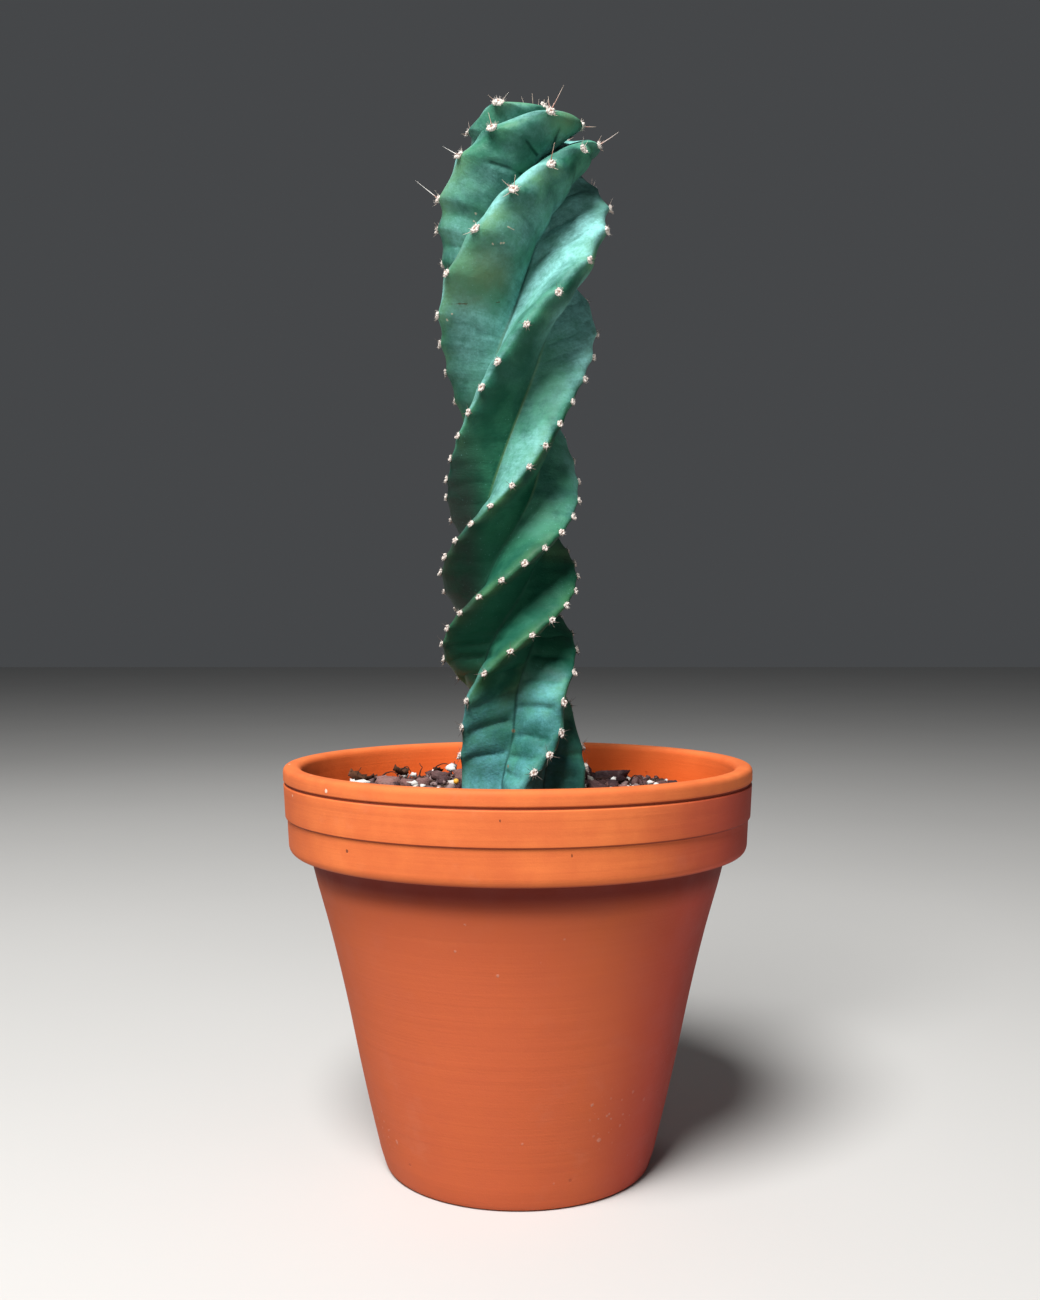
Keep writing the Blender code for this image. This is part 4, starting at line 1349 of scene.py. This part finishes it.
def chunk_material(name, dark, light, spot, scale, spotted, bump, roughness=0.9):
    """Broken stuff: two tones that differ from piece to piece, with streaks along each piece."""
    material, g, shader, place = new_material(name)
    tone = g.attribute("tone")
    local = g.node("ShaderNodeAttribute", {"attribute_name": "local"}, None, "Vector")
    fibres = g.noise(g.vector("MULTIPLY", local, (1.2, 5.0, 7.0)), scale, 4.0, 0.65)
    cloudy = g.noise(place, 260.0, 4.0, 0.6)
    base = g.mix(g.smooth(fibres * 0.6 + tone * 0.6, 0.35, 0.85), dark, light)
    base = g.mix(g.smooth(cloudy, 0.5, 0.72) * spotted, base, spot)
    finish_shader(g, shader, base, roughness, ((fibres, 0.6, bump), (cloudy, 0.6, bump)), 0.25)
    return material


def cut_cube(cuts):
    bm = bmesh.new()
    bmesh.ops.create_cube(bm, size=1)
    bmesh.ops.subdivide_edges(bm, edges=bm.edges, cuts=cuts, use_grid_fill=True)
    return bm


def random_shift(rng):
    """A place in the noise to start from, so that each shape comes out different."""
    return Vector([rng.uniform(0, 50) for _ in range(3)])


def unit_shape(bm, mesh_name):
    """Makes a mesh that is 1 in each direction, and stores each point's own place on it."""
    low = Vector([min(vert.co[k] for vert in bm.verts) for k in range(3)])
    high = Vector([max(vert.co[k] for vert in bm.verts) for k in range(3)])
    for vert in bm.verts:
        vert.co = Vector([(vert.co[k] - (low[k] + high[k]) / 2) / (high[k] - low[k]) for k in range(3)])
    mesh = mesh_of(bm, mesh_name)
    flat = [part for vert in mesh.vertices for part in vert.co]
    mesh.attributes.new("local", "FLOAT_VECTOR", "POINT").data.foreach_set("vector", flat)
    return mesh


def clod_shape(rng, number):
    """A broken lump of bark with rough sides."""
    bm = cut_cube(2)
    shift = random_shift(rng)
    for vert in bm.verts:
        ball = vert.co.normalized() * 0.62
        rough = noise.noise_vector(vert.co * 1.7 + shift) * 0.24
        rough += noise.noise_vector(vert.co * 4.5 + shift) * 0.12
        vert.co = vert.co.lerp(ball, 0.55) + rough
    return unit_shape(bm, f"clod_shape_{number}")


def chip_shape(rng, number):
    """A splintered slab of bark with split ends."""
    bm = cut_cube(2)
    shift = random_shift(rng)
    for vert in bm.verts:
        rough = noise.noise_vector(vert.co * 1.6 + shift) * 0.3
        rough += noise.noise_vector(vert.co * 5 + shift) * 0.08
        split = 0.25 * noise.noise(Vector((0, vert.co.y, vert.co.z)) * 3.5 + shift) * abs(vert.co.x)
        taper = 1 - 0.45 * abs(vert.co.x)
        place = vert.co + rough
        vert.co = Vector((place.x + split, place.y * taper, place.z * taper))
    return unit_shape(bm, f"chip_shape_{number}")


def stone_shape(rng, number, lumpiness, cuts, name):
    """An irregular grain, from a cube with this many cuts or, without cuts, from a ball of 20 triangles."""
    if cuts:
        bm = cut_cube(cuts)
    else:
        bm = bmesh.new()
        bmesh.ops.create_icosphere(bm, subdivisions=1, radius=0.5)
    for vert in bm.verts:
        vert.co = vert.co.normalized() * 0.5
    shift = random_shift(rng)
    for vert in bm.verts:
        lump = noise.noise(vert.co * 2.2 + shift) + noise.noise(vert.co * 6 + shift) * 0.4
        vert.co = vert.co * (1 + lump * lumpiness)
    return unit_shape(bm, f"{name}_shape_{number}")


def leaf_shape(rng, number):
    """A dry scrap of leaf, curled along its length."""
    bm = cut_cube(3)
    shift = random_shift(rng)
    for vert in bm.verts:
        x, y, z = vert.co
        ragged = noise.noise(Vector((x, y, 0)) * 3 + shift)
        outline = 1 - 1.6 * x * x + 0.35 * ragged
        curl = 1.5 * y * y + 0.5 * x * x + 0.25 * ragged
        vert.co = Vector((x, y * outline, curl + 0.05 * z))
    return unit_shape(bm, f"leaf_shape_{number}")


def shape_collection(name, meshes):
    group = bpy.data.collections.new(name)
    for mesh in meshes:
        group.objects.link(bpy.data.objects.new(mesh.name, mesh))
    return group


def remove_collection(group):
    for obj in list(group.objects):
        bpy.data.objects.remove(obj)
    bpy.data.collections.remove(group)


def instanced(g, points, given, pick, turn, size):
    """Ends a tree with one of the shapes on each point."""
    rotation = g.node("FunctionNodeEulerToRotation", None, {"Euler": turn})
    sockets = {"Collection": given["Shapes"], "Separate Children": True, "Reset Children": True}
    shapes = g.node("GeometryNodeCollectionInfo", None, sockets)
    return end_tree(g, g.on_points(points, shapes, rotation, size, pick), given["Finish"])


def scatter_tree():
    """Strews shapes over the bed at random, clear of the stem, the wall and the placed pieces."""
    g, bed, given = geometry_tree("Strewn pieces", {
        "Shapes": "Collection", "Stem": "Object", "Placed": "Object", "Apart": "Float",
        "Spacing": "Float", "Density": "Float", "Smallest": "Float", "Largest": "Float",
        "Narrowest": "Float", "Flattest": "Float", "Lean": "Float", "Clearance": "Float",
        "Reach": "Float", "Seed": "Int", "Finish": "Material",
    })
    seed = given["Seed"]
    _, _, up = g.split(g.node("GeometryNodeInputNormal"))
    sockets = {"Mesh": bed, "Selection": up > 0.4, "Seed": seed}
    sockets.update({"Distance Min": given["Spacing"], "Density Max": given["Density"]})
    settings = {"distribute_method": "POISSON"}
    points = g.node("GeometryNodeDistributePointsOnFaces", settings, sockets, "Points")
    x, y, _ = g.split(g.node("GeometryNodeInputPosition"))
    from_axis = g.radius(x, y)
    from_placed = g.from_object(given["Placed"], target_element="POINTS")
    too_near = (from_axis < STEM_CORE) + (g.from_object(given["Stem"]) < given["Clearance"])
    off = g.maths("MINIMUM", too_near + (from_placed < given["Apart"]) + (from_axis > given["Reach"]), 1.0)
    points = g.node("GeometryNodeDeleteGeometry", {"domain": "POINT"}, {"Geometry": points, "Selection": off})
    points = g.store(points, "tone", g.random(0.0, 1.0, seed + 1))
    size = g.random(0.0, 1.0, seed + 2)
    long = given["Smallest"] + (given["Largest"] - given["Smallest"]) * size * size
    wide = long * g.random(given["Narrowest"], 1.0, seed + 8)
    tall = long * g.random(given["Flattest"], 1.0, seed + 9)
    points = g.moved(points, g.combine(0.0, 0.0, tall * g.random(-0.2, 0.42, seed + 3)))
    turn = g.combine(
        g.random(-1.0, 1.0, seed + 4) * given["Lean"],
        g.random(-1.0, 1.0, seed + 5) * given["Lean"],
        g.random(0.0, FULL_TURN, seed + 6),
    )
    return instanced(g, points, given, g.random(0.0, 100.0, seed + 7), turn, g.combine(long, wide, tall))


def placed_tree():
    """One shape on each point, with the turn and the size that the point carries."""
    g, points, given = geometry_tree("Placed pieces", {"Shapes": "Collection", "Finish": "Material"})
    turn = g.stored("turn", "FLOAT_VECTOR")
    return instanced(g, points, given, g.stored("pick"), turn, g.stored("size", "FLOAT_VECTOR"))


# Pieces placed one by one: shape, place (right, back, height above the bed), size (long, wide, tall),
# in mm, then turn and tilt in degrees and how light the piece is
PLACED = {
    "placed_bark": (
        (0, (-63, 38, 2.0), (13, 9, 6), 5, 4, 0.8),
        (1, (-45, 33, 2.0), (8, 7, 5.5), 40, 10, 0.65),
        (2, (-53, 36, 1.5), (8, 6, 5), -20, 0, 0.6),
        (3, (-38.6, 58, 2.0), (10, 7, 6), 15, 6, 0.4),
        (4, (-36, 46, 1.5), (7, 6, 4.5), 70, 0, 0.3),
        (0, (-70, 28, 0.5), (9, 7, 4), 30, 0, 0.5),
        (2, (-30, 30, 0.5), (6, 5, 3.5), 0, 0, 0.2),
        (5, (45, 47, 2.5), (20, 9, 7.5), -4, -4, 0.15),
        (6, (41, 33, 1.8), (8, 6, 5.5), 30, 12, 0.35),
        (1, (44.5, 28, 1.8), (7, 6, 4.5), 10, 0, 0.9),
        (5, (56, 33, 1.8), (5, 3.5, 6), 70, 14, 0.45),
        (3, (60, 40, 1.0), (9, 6, 4), -20, 0, 0.35),
        (4, (69, 40, 0.8), (7, 5, 3.5), 35, 0, 0.4),
        (6, (75, 43, 0.8), (5, 4, 3), 0, 0, 0.2),
        (2, (34, 36, 0.8), (7, 5, 4), 0, 0, 0.3),
    ),
    "placed_perlite": (
        (0, (-74.6, 35, 1.6), (8, 5, 4), 10, 0, 0.9),
        (1, (-57.5, 66, 3.0), (5.2, 4, 4), 0, 20, 1.0),
        (2, (-52, 66, 2.6), (4, 4, 3.2), 40, 0, 0.9),
        (3, (-50, 24, 2.4), (6, 3.4, 3.4), -10, 12, 0.6),
        (4, (-33.5, 60, 5.4), (6, 5, 4.4), 0, 8, 1.0),
        (1, (-42, 64, 3.6), (3, 2.6, 2.6), 0, 0, 1.0),
        (0, (-45, 27, 1.2), (3.4, 3, 2.6), 60, 0, 0.8),
        (2, (33, 22, 1.6), (7, 3.4, 3), -14, 10, 1.0),
        (3, (39, 22, 1.2), (6.4, 3.4, 3), 8, 0, 0.9),
        (4, (45, 25, 4.4), (3, 3, 2.2), 0, 0, 0.9),
        (0, (63, 31, 1.6), (4.4, 3, 3), 30, 0, 1.0),
        (1, (66, 36, 1.4), (3, 2.6, 2.4), 0, 0, 0.9),
        (2, (31, 40, 3.4), (3.4, 3, 3), 0, 0, 1.0),
        (3, (72, 47, 1.2), (2.6, 2.4, 2), 0, 0, 0.9),
        (4, (-66, 50, 2.0), (2.8, 2.4, 2.2), 0, 0, 0.9),
    ),
    "placed_stone": (
        (0, (-31.5, 20, 1.6), (6, 5, 4.4), 0, 0, 0.9),
        (1, (24, 10, 1.0), (4, 3.4, 3), 0, 0, 0.8),
    ),
    "placed_leaf": (
        (0, (-78, 43, 3.4), (9, 7, 6), 25, 28, 0.5),
        (1, (-72.5, 47, 2.6), (8, 5, 3.6), -30, -12, 0.3),
        (2, (-58, 57, 5.4), (7.5, 5, 4), 10, 24, 0.4),
        (0, (-40, 62, 4.6), (7, 4, 3), 60, 10, 0.2),
    ),
    "placed_grain": ((0, (-29.8, 38, 2.4), (2.6, 2.6, 2.6), 0, 0, 0.5),),
}
# Points along a rootlet and how far, in metres, it wobbles
ROOTLET_POINTS = 14
ROOTLET_WOBBLE = 0.0016
# Rootlets, as lines from place to place (right, back, height above the bed) in mm
ROOTLETS = (
    ((-50, 68, 0), (-49.4, 68, 3.5), (-48.2, 67, 6), (-49.6, 67, 8.4)),
    ((-44, 63, 1), (-41.5, 62, 5.4), (-38, 61, 7.4), (-34.4, 61, 6.6), (-33, 60, 3)),
    ((-31.4, 62, 1), (-31, 62, 5), (-31.8, 61, 9)),
    ((-60, 58, 2), (-57, 57, 7), (-54.5, 57, 8), (-53, 58, 5)),
    ((-80, 42, 0), (-77.6, 43, 5.4), (-76, 44, 7.6)),
    ((-68, 42, 2), (-64, 44, 5), (-60, 44, 5.2), (-57, 42, 3)),
    ((34, 30, 1), (37.5, 30, 4.6), (42, 31, 4.8), (46, 34, 6)),
    ((52, 36, 1), (55.4, 34, 5), (58, 33, 4), (60, 33, 1)),
)


def placed_guide(rows):
    """A point for each row of a list in PLACED, which carries its turn, size, shape and tone."""
    values = {"turn": [], "size": [], "pick": [], "tone": []}
    places = []
    for pick, (x, y, above), size, turn, tilt, tone in rows:
        places.append((x * MM, y * MM, mix_height(x * MM, y * MM) + above * MM))
        values["turn"].append((math.radians(tilt) * 0.5, math.radians(tilt), math.radians(turn)))
        values["size"].append([part * MM for part in size])
        values["pick"].append(pick)
        values["tone"].append(tone)
    return points_mesh("placed_guide", places, values)


def rootlet_guide():
    """The rootlets' lines, with their heights above the bed."""

    def on_bed(x, y, above):
        return x * MM, y * MM, mix_height(x * MM, y * MM) + above * MM

    return lines_mesh("rootlet_guide", [[on_bed(*place) for place in line] for line in ROOTLETS])


def rootlet_tree():
    """A smooth wiry tube along each line, thinner towards its end."""
    g, lines, given = geometry_tree("Rootlets", {"Thickness": "Float", "Finish": "Material"})
    curves = g.node("GeometryNodeMeshToCurve", None, {"Mesh": lines})
    curves = g.node("GeometryNodeCurveSplineType", {"spline_type": "CATMULL_ROM"}, {"Curve": curves})
    sockets = {"Curve": curves, "Count": ROOTLET_POINTS}
    curves = g.node("GeometryNodeResampleCurve", {"mode": "COUNT"}, sockets)
    wobble = g.node("ShaderNodeTexNoise", None, {"Scale": 700.0}, "Color")
    curves = g.moved(curves, g.scaled(g.vector("SUBTRACT", wobble, (0.5, 0.5, 0.5)), ROOTLET_WOBBLE))
    along = g.node("GeometryNodeSplineParameter", None, None, "Factor")
    ring = g.node("GeometryNodeCurvePrimitiveCircle", None, {"Resolution": 5, "Radius": 1.0}, "Curve")
    thick = given["Thickness"] * g.smooth(along, 0.0, 1.0, 1.0, 0.35)
    sockets = {"Curve": curves, "Profile Curve": ring, "Fill Caps": True, "Scale": thick}
    return end_tree(g, g.node("GeometryNodeCurveToMesh", None, sockets), given["Finish"])


class MixSettings(bpy.types.PropertyGroup):
    bark_size: length_setting("Bark Size", "Longest bark chip", 0.0115)
    grit_size: length_setting("Grit Size", "Largest piece of grit", 0.0065)
    perlite_size: length_setting("Perlite Size", "Largest perlite", 0.0052)
    soil: colour_setting("Soil", "Fine mix", (0.085, 0.045, 0.035))
    soil_dark: colour_setting("Dark Soil", "Shaded fine mix", (0.02, 0.012, 0.008))
    bark: colour_setting("Bark", "Bark chips", (0.3, 0.155, 0.14))
    bark_dark: colour_setting("Dark Bark", "Dark side of bark", (0.05, 0.026, 0.03))
    grit: colour_setting("Grit", "Broken stone", (0.27, 0.19, 0.18))
    perlite: colour_setting("Perlite", "White perlite", (0.8, 0.78, 0.74))
    leaf: colour_setting("Dry Leaf", "Scraps of leaf and rootlets", (0.2, 0.085, 0.04))
    rootlet_thickness: length_setting("Rootlets", "Radius of a rootlet", 0.00045)
    grain: colour_setting("Fertiliser", "Orange fertiliser grains", (0.85, 0.38, 0.03))


class CACTUS_OT_mix(bpy.types.Operator):
    """Makes the bed of fine mix"""

    bl_idname = "cactus.mix"
    bl_label = "Mix Bed"

    def execute(self, context):
        mesh = mix_mesh()
        mesh.materials.append(mix_material(context.scene.cactus_mix))
        bed = new_object("mix_bed", mesh)
        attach(bed, BODY)
        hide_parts("potting_mix")
        return {"FINISHED"}


# Seeds of the noise that roughens the shapes and of the draws that place it
NOISE_SEED = 7
SHAPE_SEED = 17


def chunk_shapes():
    """The shapes of each kind of piece."""
    noise.seed_set(NOISE_SEED)
    rng = random.Random(SHAPE_SEED)
    return {
        "bark": [clod_shape(rng, i) for i in range(5)] + [chip_shape(rng, i) for i in range(2)],
        "grit": [stone_shape(rng, i, 0.9, 1, "grit") for i in range(5)],
        "crumb": [stone_shape(rng, i, 0.8, 0, "crumb") for i in range(6)],
        "perlite": [stone_shape(rng, i, 1.0, 1, "perlite") for i in range(5)],
        "grain": [stone_shape(rng, i, 0.06, 2, "grain") for i in range(2)],
        "leaf": [leaf_shape(rng, i) for i in range(3)],
    }


PERLITE_SHADE = (0.6, 0.56, 0.5)
PERLITE_DIRT = (0.35, 0.3, 0.25)
GRAIN_LIGHT = (0.9, 0.5, 0.08)
LEAF_DARK = (0.05, 0.022, 0.015)


def chunk_finishes(settings):
    """The material of each kind of piece."""
    dark, stone, white = settings.bark_dark, settings.grit, settings.perlite
    bark = chunk_material("bark", dark, settings.bark, stone, 5.0, 0.35, 0.0012)
    grit = chunk_material("grit", dark, stone, settings.bark, 3.0, 0.4, 0.0005)
    perlite = chunk_material("perlite", PERLITE_SHADE, white, PERLITE_DIRT, 4.0, 0.2, 0.0004)
    grain = chunk_material("fertiliser", settings.grain, GRAIN_LIGHT, settings.grain, 3.0, 0.1, 0.0001, 0.4)
    leaf = chunk_material("dry_leaf", LEAF_DARK, settings.leaf, dark, 4.0, 0.3, 0.0004)
    return {"bark": bark, "grit": grit, "crumb": grit, "perlite": perlite, "grain": grain, "leaf": leaf}


# The material slot of each kind of piece that has another name, and the kind of each placed group
PLACED_KINDS = {
    "placed_bark": "bark",
    "placed_perlite": "perlite",
    "placed_stone": "grit",
    "placed_leaf": "leaf",
    "placed_grain": "grain",
}
# How far the strewn pieces lean, in radians; then their kinds and these inputs of their tree, lengths in
# metres. Where the largest size is 0, it is the setting for that kind
STREWN_LEAN = 0.4
STREWN_INPUTS = (
    "Apart", "Spacing", "Density", "Smallest", "Largest",
    "Narrowest", "Flattest", "Clearance", "Reach", "Seed",
)
STREWN = {
    "crumbs": ("crumb", 0.0, 0.0022, 90000, 0.0012, 0.0035, 0.6, 0.5, 0.0008, 0.0935, 11),
    "bark_chips": ("bark", 0.008, 0.0095, 11000, 0.006, 0, 0.55, 0.4, 0.004, 0.087, 2),
    "grit": ("grit", 0.004, 0.006, 20000, 0.003, 0, 0.6, 0.5, 0.003, 0.0895, 3),
    "perlite": ("perlite", 0.005, 0.0082, 14000, 0.0022, 0, 0.6, 0.55, 0.002, 0.091, 5),
    "fertiliser": ("grain", 0.004, 0.03, 900, 0.0023, 0.0027, 0.95, 0.9, 0.002, 0.085, 8),
}


class CACTUS_OT_chunks(bpy.types.Operator):
    """Strews bark, grit, perlite, crumbs and fertiliser grains over the bed, round those placed one by one"""

    bl_idname = "cactus.chunks"
    bl_label = "Chunks"

    def execute(self, context):
        settings = context.scene.cactus_mix
        shapes = chunk_shapes()
        finishes = chunk_finishes(settings)
        groups = {kind: shape_collection(kind, meshes) for kind, meshes in shapes.items()}
        tree = placed_tree()
        for name, kind in PLACED_KINDS.items():
            values = {"Shapes": groups[kind], "Finish": finishes[kind]}
            pieces = grow(name, tree, placed_guide(PLACED[name]), values)
            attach(pieces, BODY)
        placed = placed_guide([row for name in PLACED_KINDS for row in PLACED[name]])
        guide = bpy.data.objects.new("placed_guide", placed)
        tree = scatter_tree()
        largest = {"bark": settings.bark_size, "grit": settings.grit_size, "perlite": settings.perlite_size}
        for name, (kind, *numbers) in STREWN.items():
            values = dict(zip(STREWN_INPUTS, numbers))
            values["Largest"] = largest.get(kind, values["Largest"])
            values.update({"Stem": bpy.data.objects["stem_skin"], "Placed": guide, "Lean": STREWN_LEAN})
            values.update({"Shapes": groups[kind], "Finish": finishes[kind]})
            pieces = grow(name, tree, bpy.data.objects["mix_bed"].data.copy(), values)
            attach(pieces, BODY)
        bpy.data.objects.remove(guide)
        for group in groups.values():
            remove_collection(group)
        values = {"Thickness": settings.rootlet_thickness, "Finish": finishes["leaf"]}
        rootlets = grow("rootlets", rootlet_tree(), rootlet_guide(), values)
        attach(rootlets, BODY)
        return {"FINISHED"}


# The stage: lights as name, place, the point they shine at and size, and the fitted camera

LIGHTS = (
    ("key", (-0.45, -1.1, 1.85), (0, 0, 0.25), 0.95),
    ("fill", (1.4, -0.9, 0.7), (0, 0, 0.25), 1.0),
    ("back", (-0.6, 1.2, 1.1), (0, 0, 0.35), 0.8),
)
SKY_COLOUR = (0.86, 0.9, 0.95, 1)
FLOOR_HALF = 6
CAMERA_PLACE = (0.00095, -0.631, 0.2475)
CAMERA_PITCH = 0.025
SENSOR = 36


class StageSettings(bpy.types.PropertyGroup):
    floor: colour_setting("Floor", "Pale floor", (0.6, 0.59, 0.57))
    lens: FloatProperty(name="Lens", description="Focal length", default=38.576, unit="CAMERA")
    key: power_setting("Key Light", "Power of the main light", 82.0)
    fill: power_setting("Fill Light", "Power of the light from the right", 0.5)
    back: power_setting("Back Light", "Power of the light from behind", 1.5)
    sky: FloatProperty(name="Sky", description="Strength of the light all round", default=0.07)


def floor_material(settings):
    material, g, shader, place = new_material("pale_floor")
    cloudy = g.noise(place, 3.0, 3.0)
    tint = tuple(part * 0.94 for part in settings.floor)
    base = g.mix(cloudy, settings.floor, tint)
    finish_shader(g, shader, base, 0.8, ((g.noise(place, 300.0, 3.0), 0.1, 0.0003),), 0.2)
    return material


def add_light(name, place, aim, power, size):
    lamp = bpy.data.lights.new(name, "AREA")
    lamp.shape = "DISK"
    lamp.size = size
    lamp.energy = power
    light = new_object(name, lamp)
    light.location = place
    light.rotation_euler = (Vector(aim) - Vector(place)).to_track_quat("-Z", "Y").to_euler()


class CACTUS_OT_stage(bpy.types.Operator):
    """Makes the floor, the lights and the camera"""

    bl_idname = "cactus.stage"
    bl_label = "Stage"

    def execute(self, context):
        settings = context.scene.cactus_stage
        bm = bmesh.new()
        bmesh.ops.create_grid(bm, x_segments=1, y_segments=1, size=FLOOR_HALF)
        mesh = mesh_of(bm, "floor")
        mesh.materials.append(floor_material(settings))
        new_object("floor", mesh)
        for name, place, aim, size in LIGHTS:
            add_light(f"{name}_light", place, aim, getattr(settings, name), size)
        world = bpy.data.worlds.new("studio")
        world.use_nodes = True
        backdrop = world.node_tree.nodes["Background"]
        backdrop.inputs["Color"].default_value = SKY_COLOUR
        backdrop.inputs["Strength"].default_value = settings.sky
        context.scene.world = world
        context.scene.view_settings.view_transform = "Standard"
        lens = bpy.data.cameras.new("camera")
        lens.lens = settings.lens
        lens.sensor_width = SENSOR
        camera = new_object("camera", lens)
        camera.location = CAMERA_PLACE
        camera.rotation_euler = (math.pi / 2 - CAMERA_PITCH, 0, 0)
        context.scene.camera = camera
        return {"FINISHED"}


class CACTUS_PT_panel(bpy.types.Panel):
    """Lists the pieces"""

    bl_label = "Potted Spiral Cactus"
    bl_idname = "CACTUS_PT_panel"
    bl_space_type = "VIEW_3D"
    bl_region_type = "UI"
    bl_category = "Cactus"

    def draw(self, context):
        for operator in OPERATORS:
            self.layout.operator(operator.bl_idname)
        for name in SETTINGS:
            box = self.layout.box()
            group = getattr(context.scene, name)
            for label in group.bl_rna.properties.keys():
                if label not in ("rna_type", "name"):
                    box.prop(group, label)


OPERATORS = (
    CACTUS_OT_stage,
    CACTUS_OT_stem,
    CACTUS_OT_felt,
    CACTUS_OT_spines,
    CACTUS_OT_pot,
    CACTUS_OT_mix,
    CACTUS_OT_chunks,
)
SETTINGS = {
    "cactus_stem": StemSettings,
    "cactus_areoles": AreoleSettings,
    "cactus_pot": PotSettings,
    "cactus_mix": MixSettings,
    "cactus_stage": StageSettings,
}


def register():
    for name, group in SETTINGS.items():
        bpy.utils.register_class(group)
        setattr(bpy.types.Scene, name, PointerProperty(type=group))
    for made in (*OPERATORS, CACTUS_PT_panel):
        bpy.utils.register_class(made)


def unregister():
    for made in reversed((*OPERATORS, CACTUS_PT_panel)):
        bpy.utils.unregister_class(made)
    for name, group in SETTINGS.items():
        delattr(bpy.types.Scene, name)
        bpy.utils.unregister_class(group)


def main():
    register()
    bpy.ops.cactus.stage()
    bpy.ops.cactus.stem()
    bpy.ops.cactus.felt()
    bpy.ops.cactus.spines()
    bpy.ops.cactus.pot()
    bpy.ops.cactus.mix()
    bpy.ops.cactus.chunks()


if __name__ == "__main__":
    main()
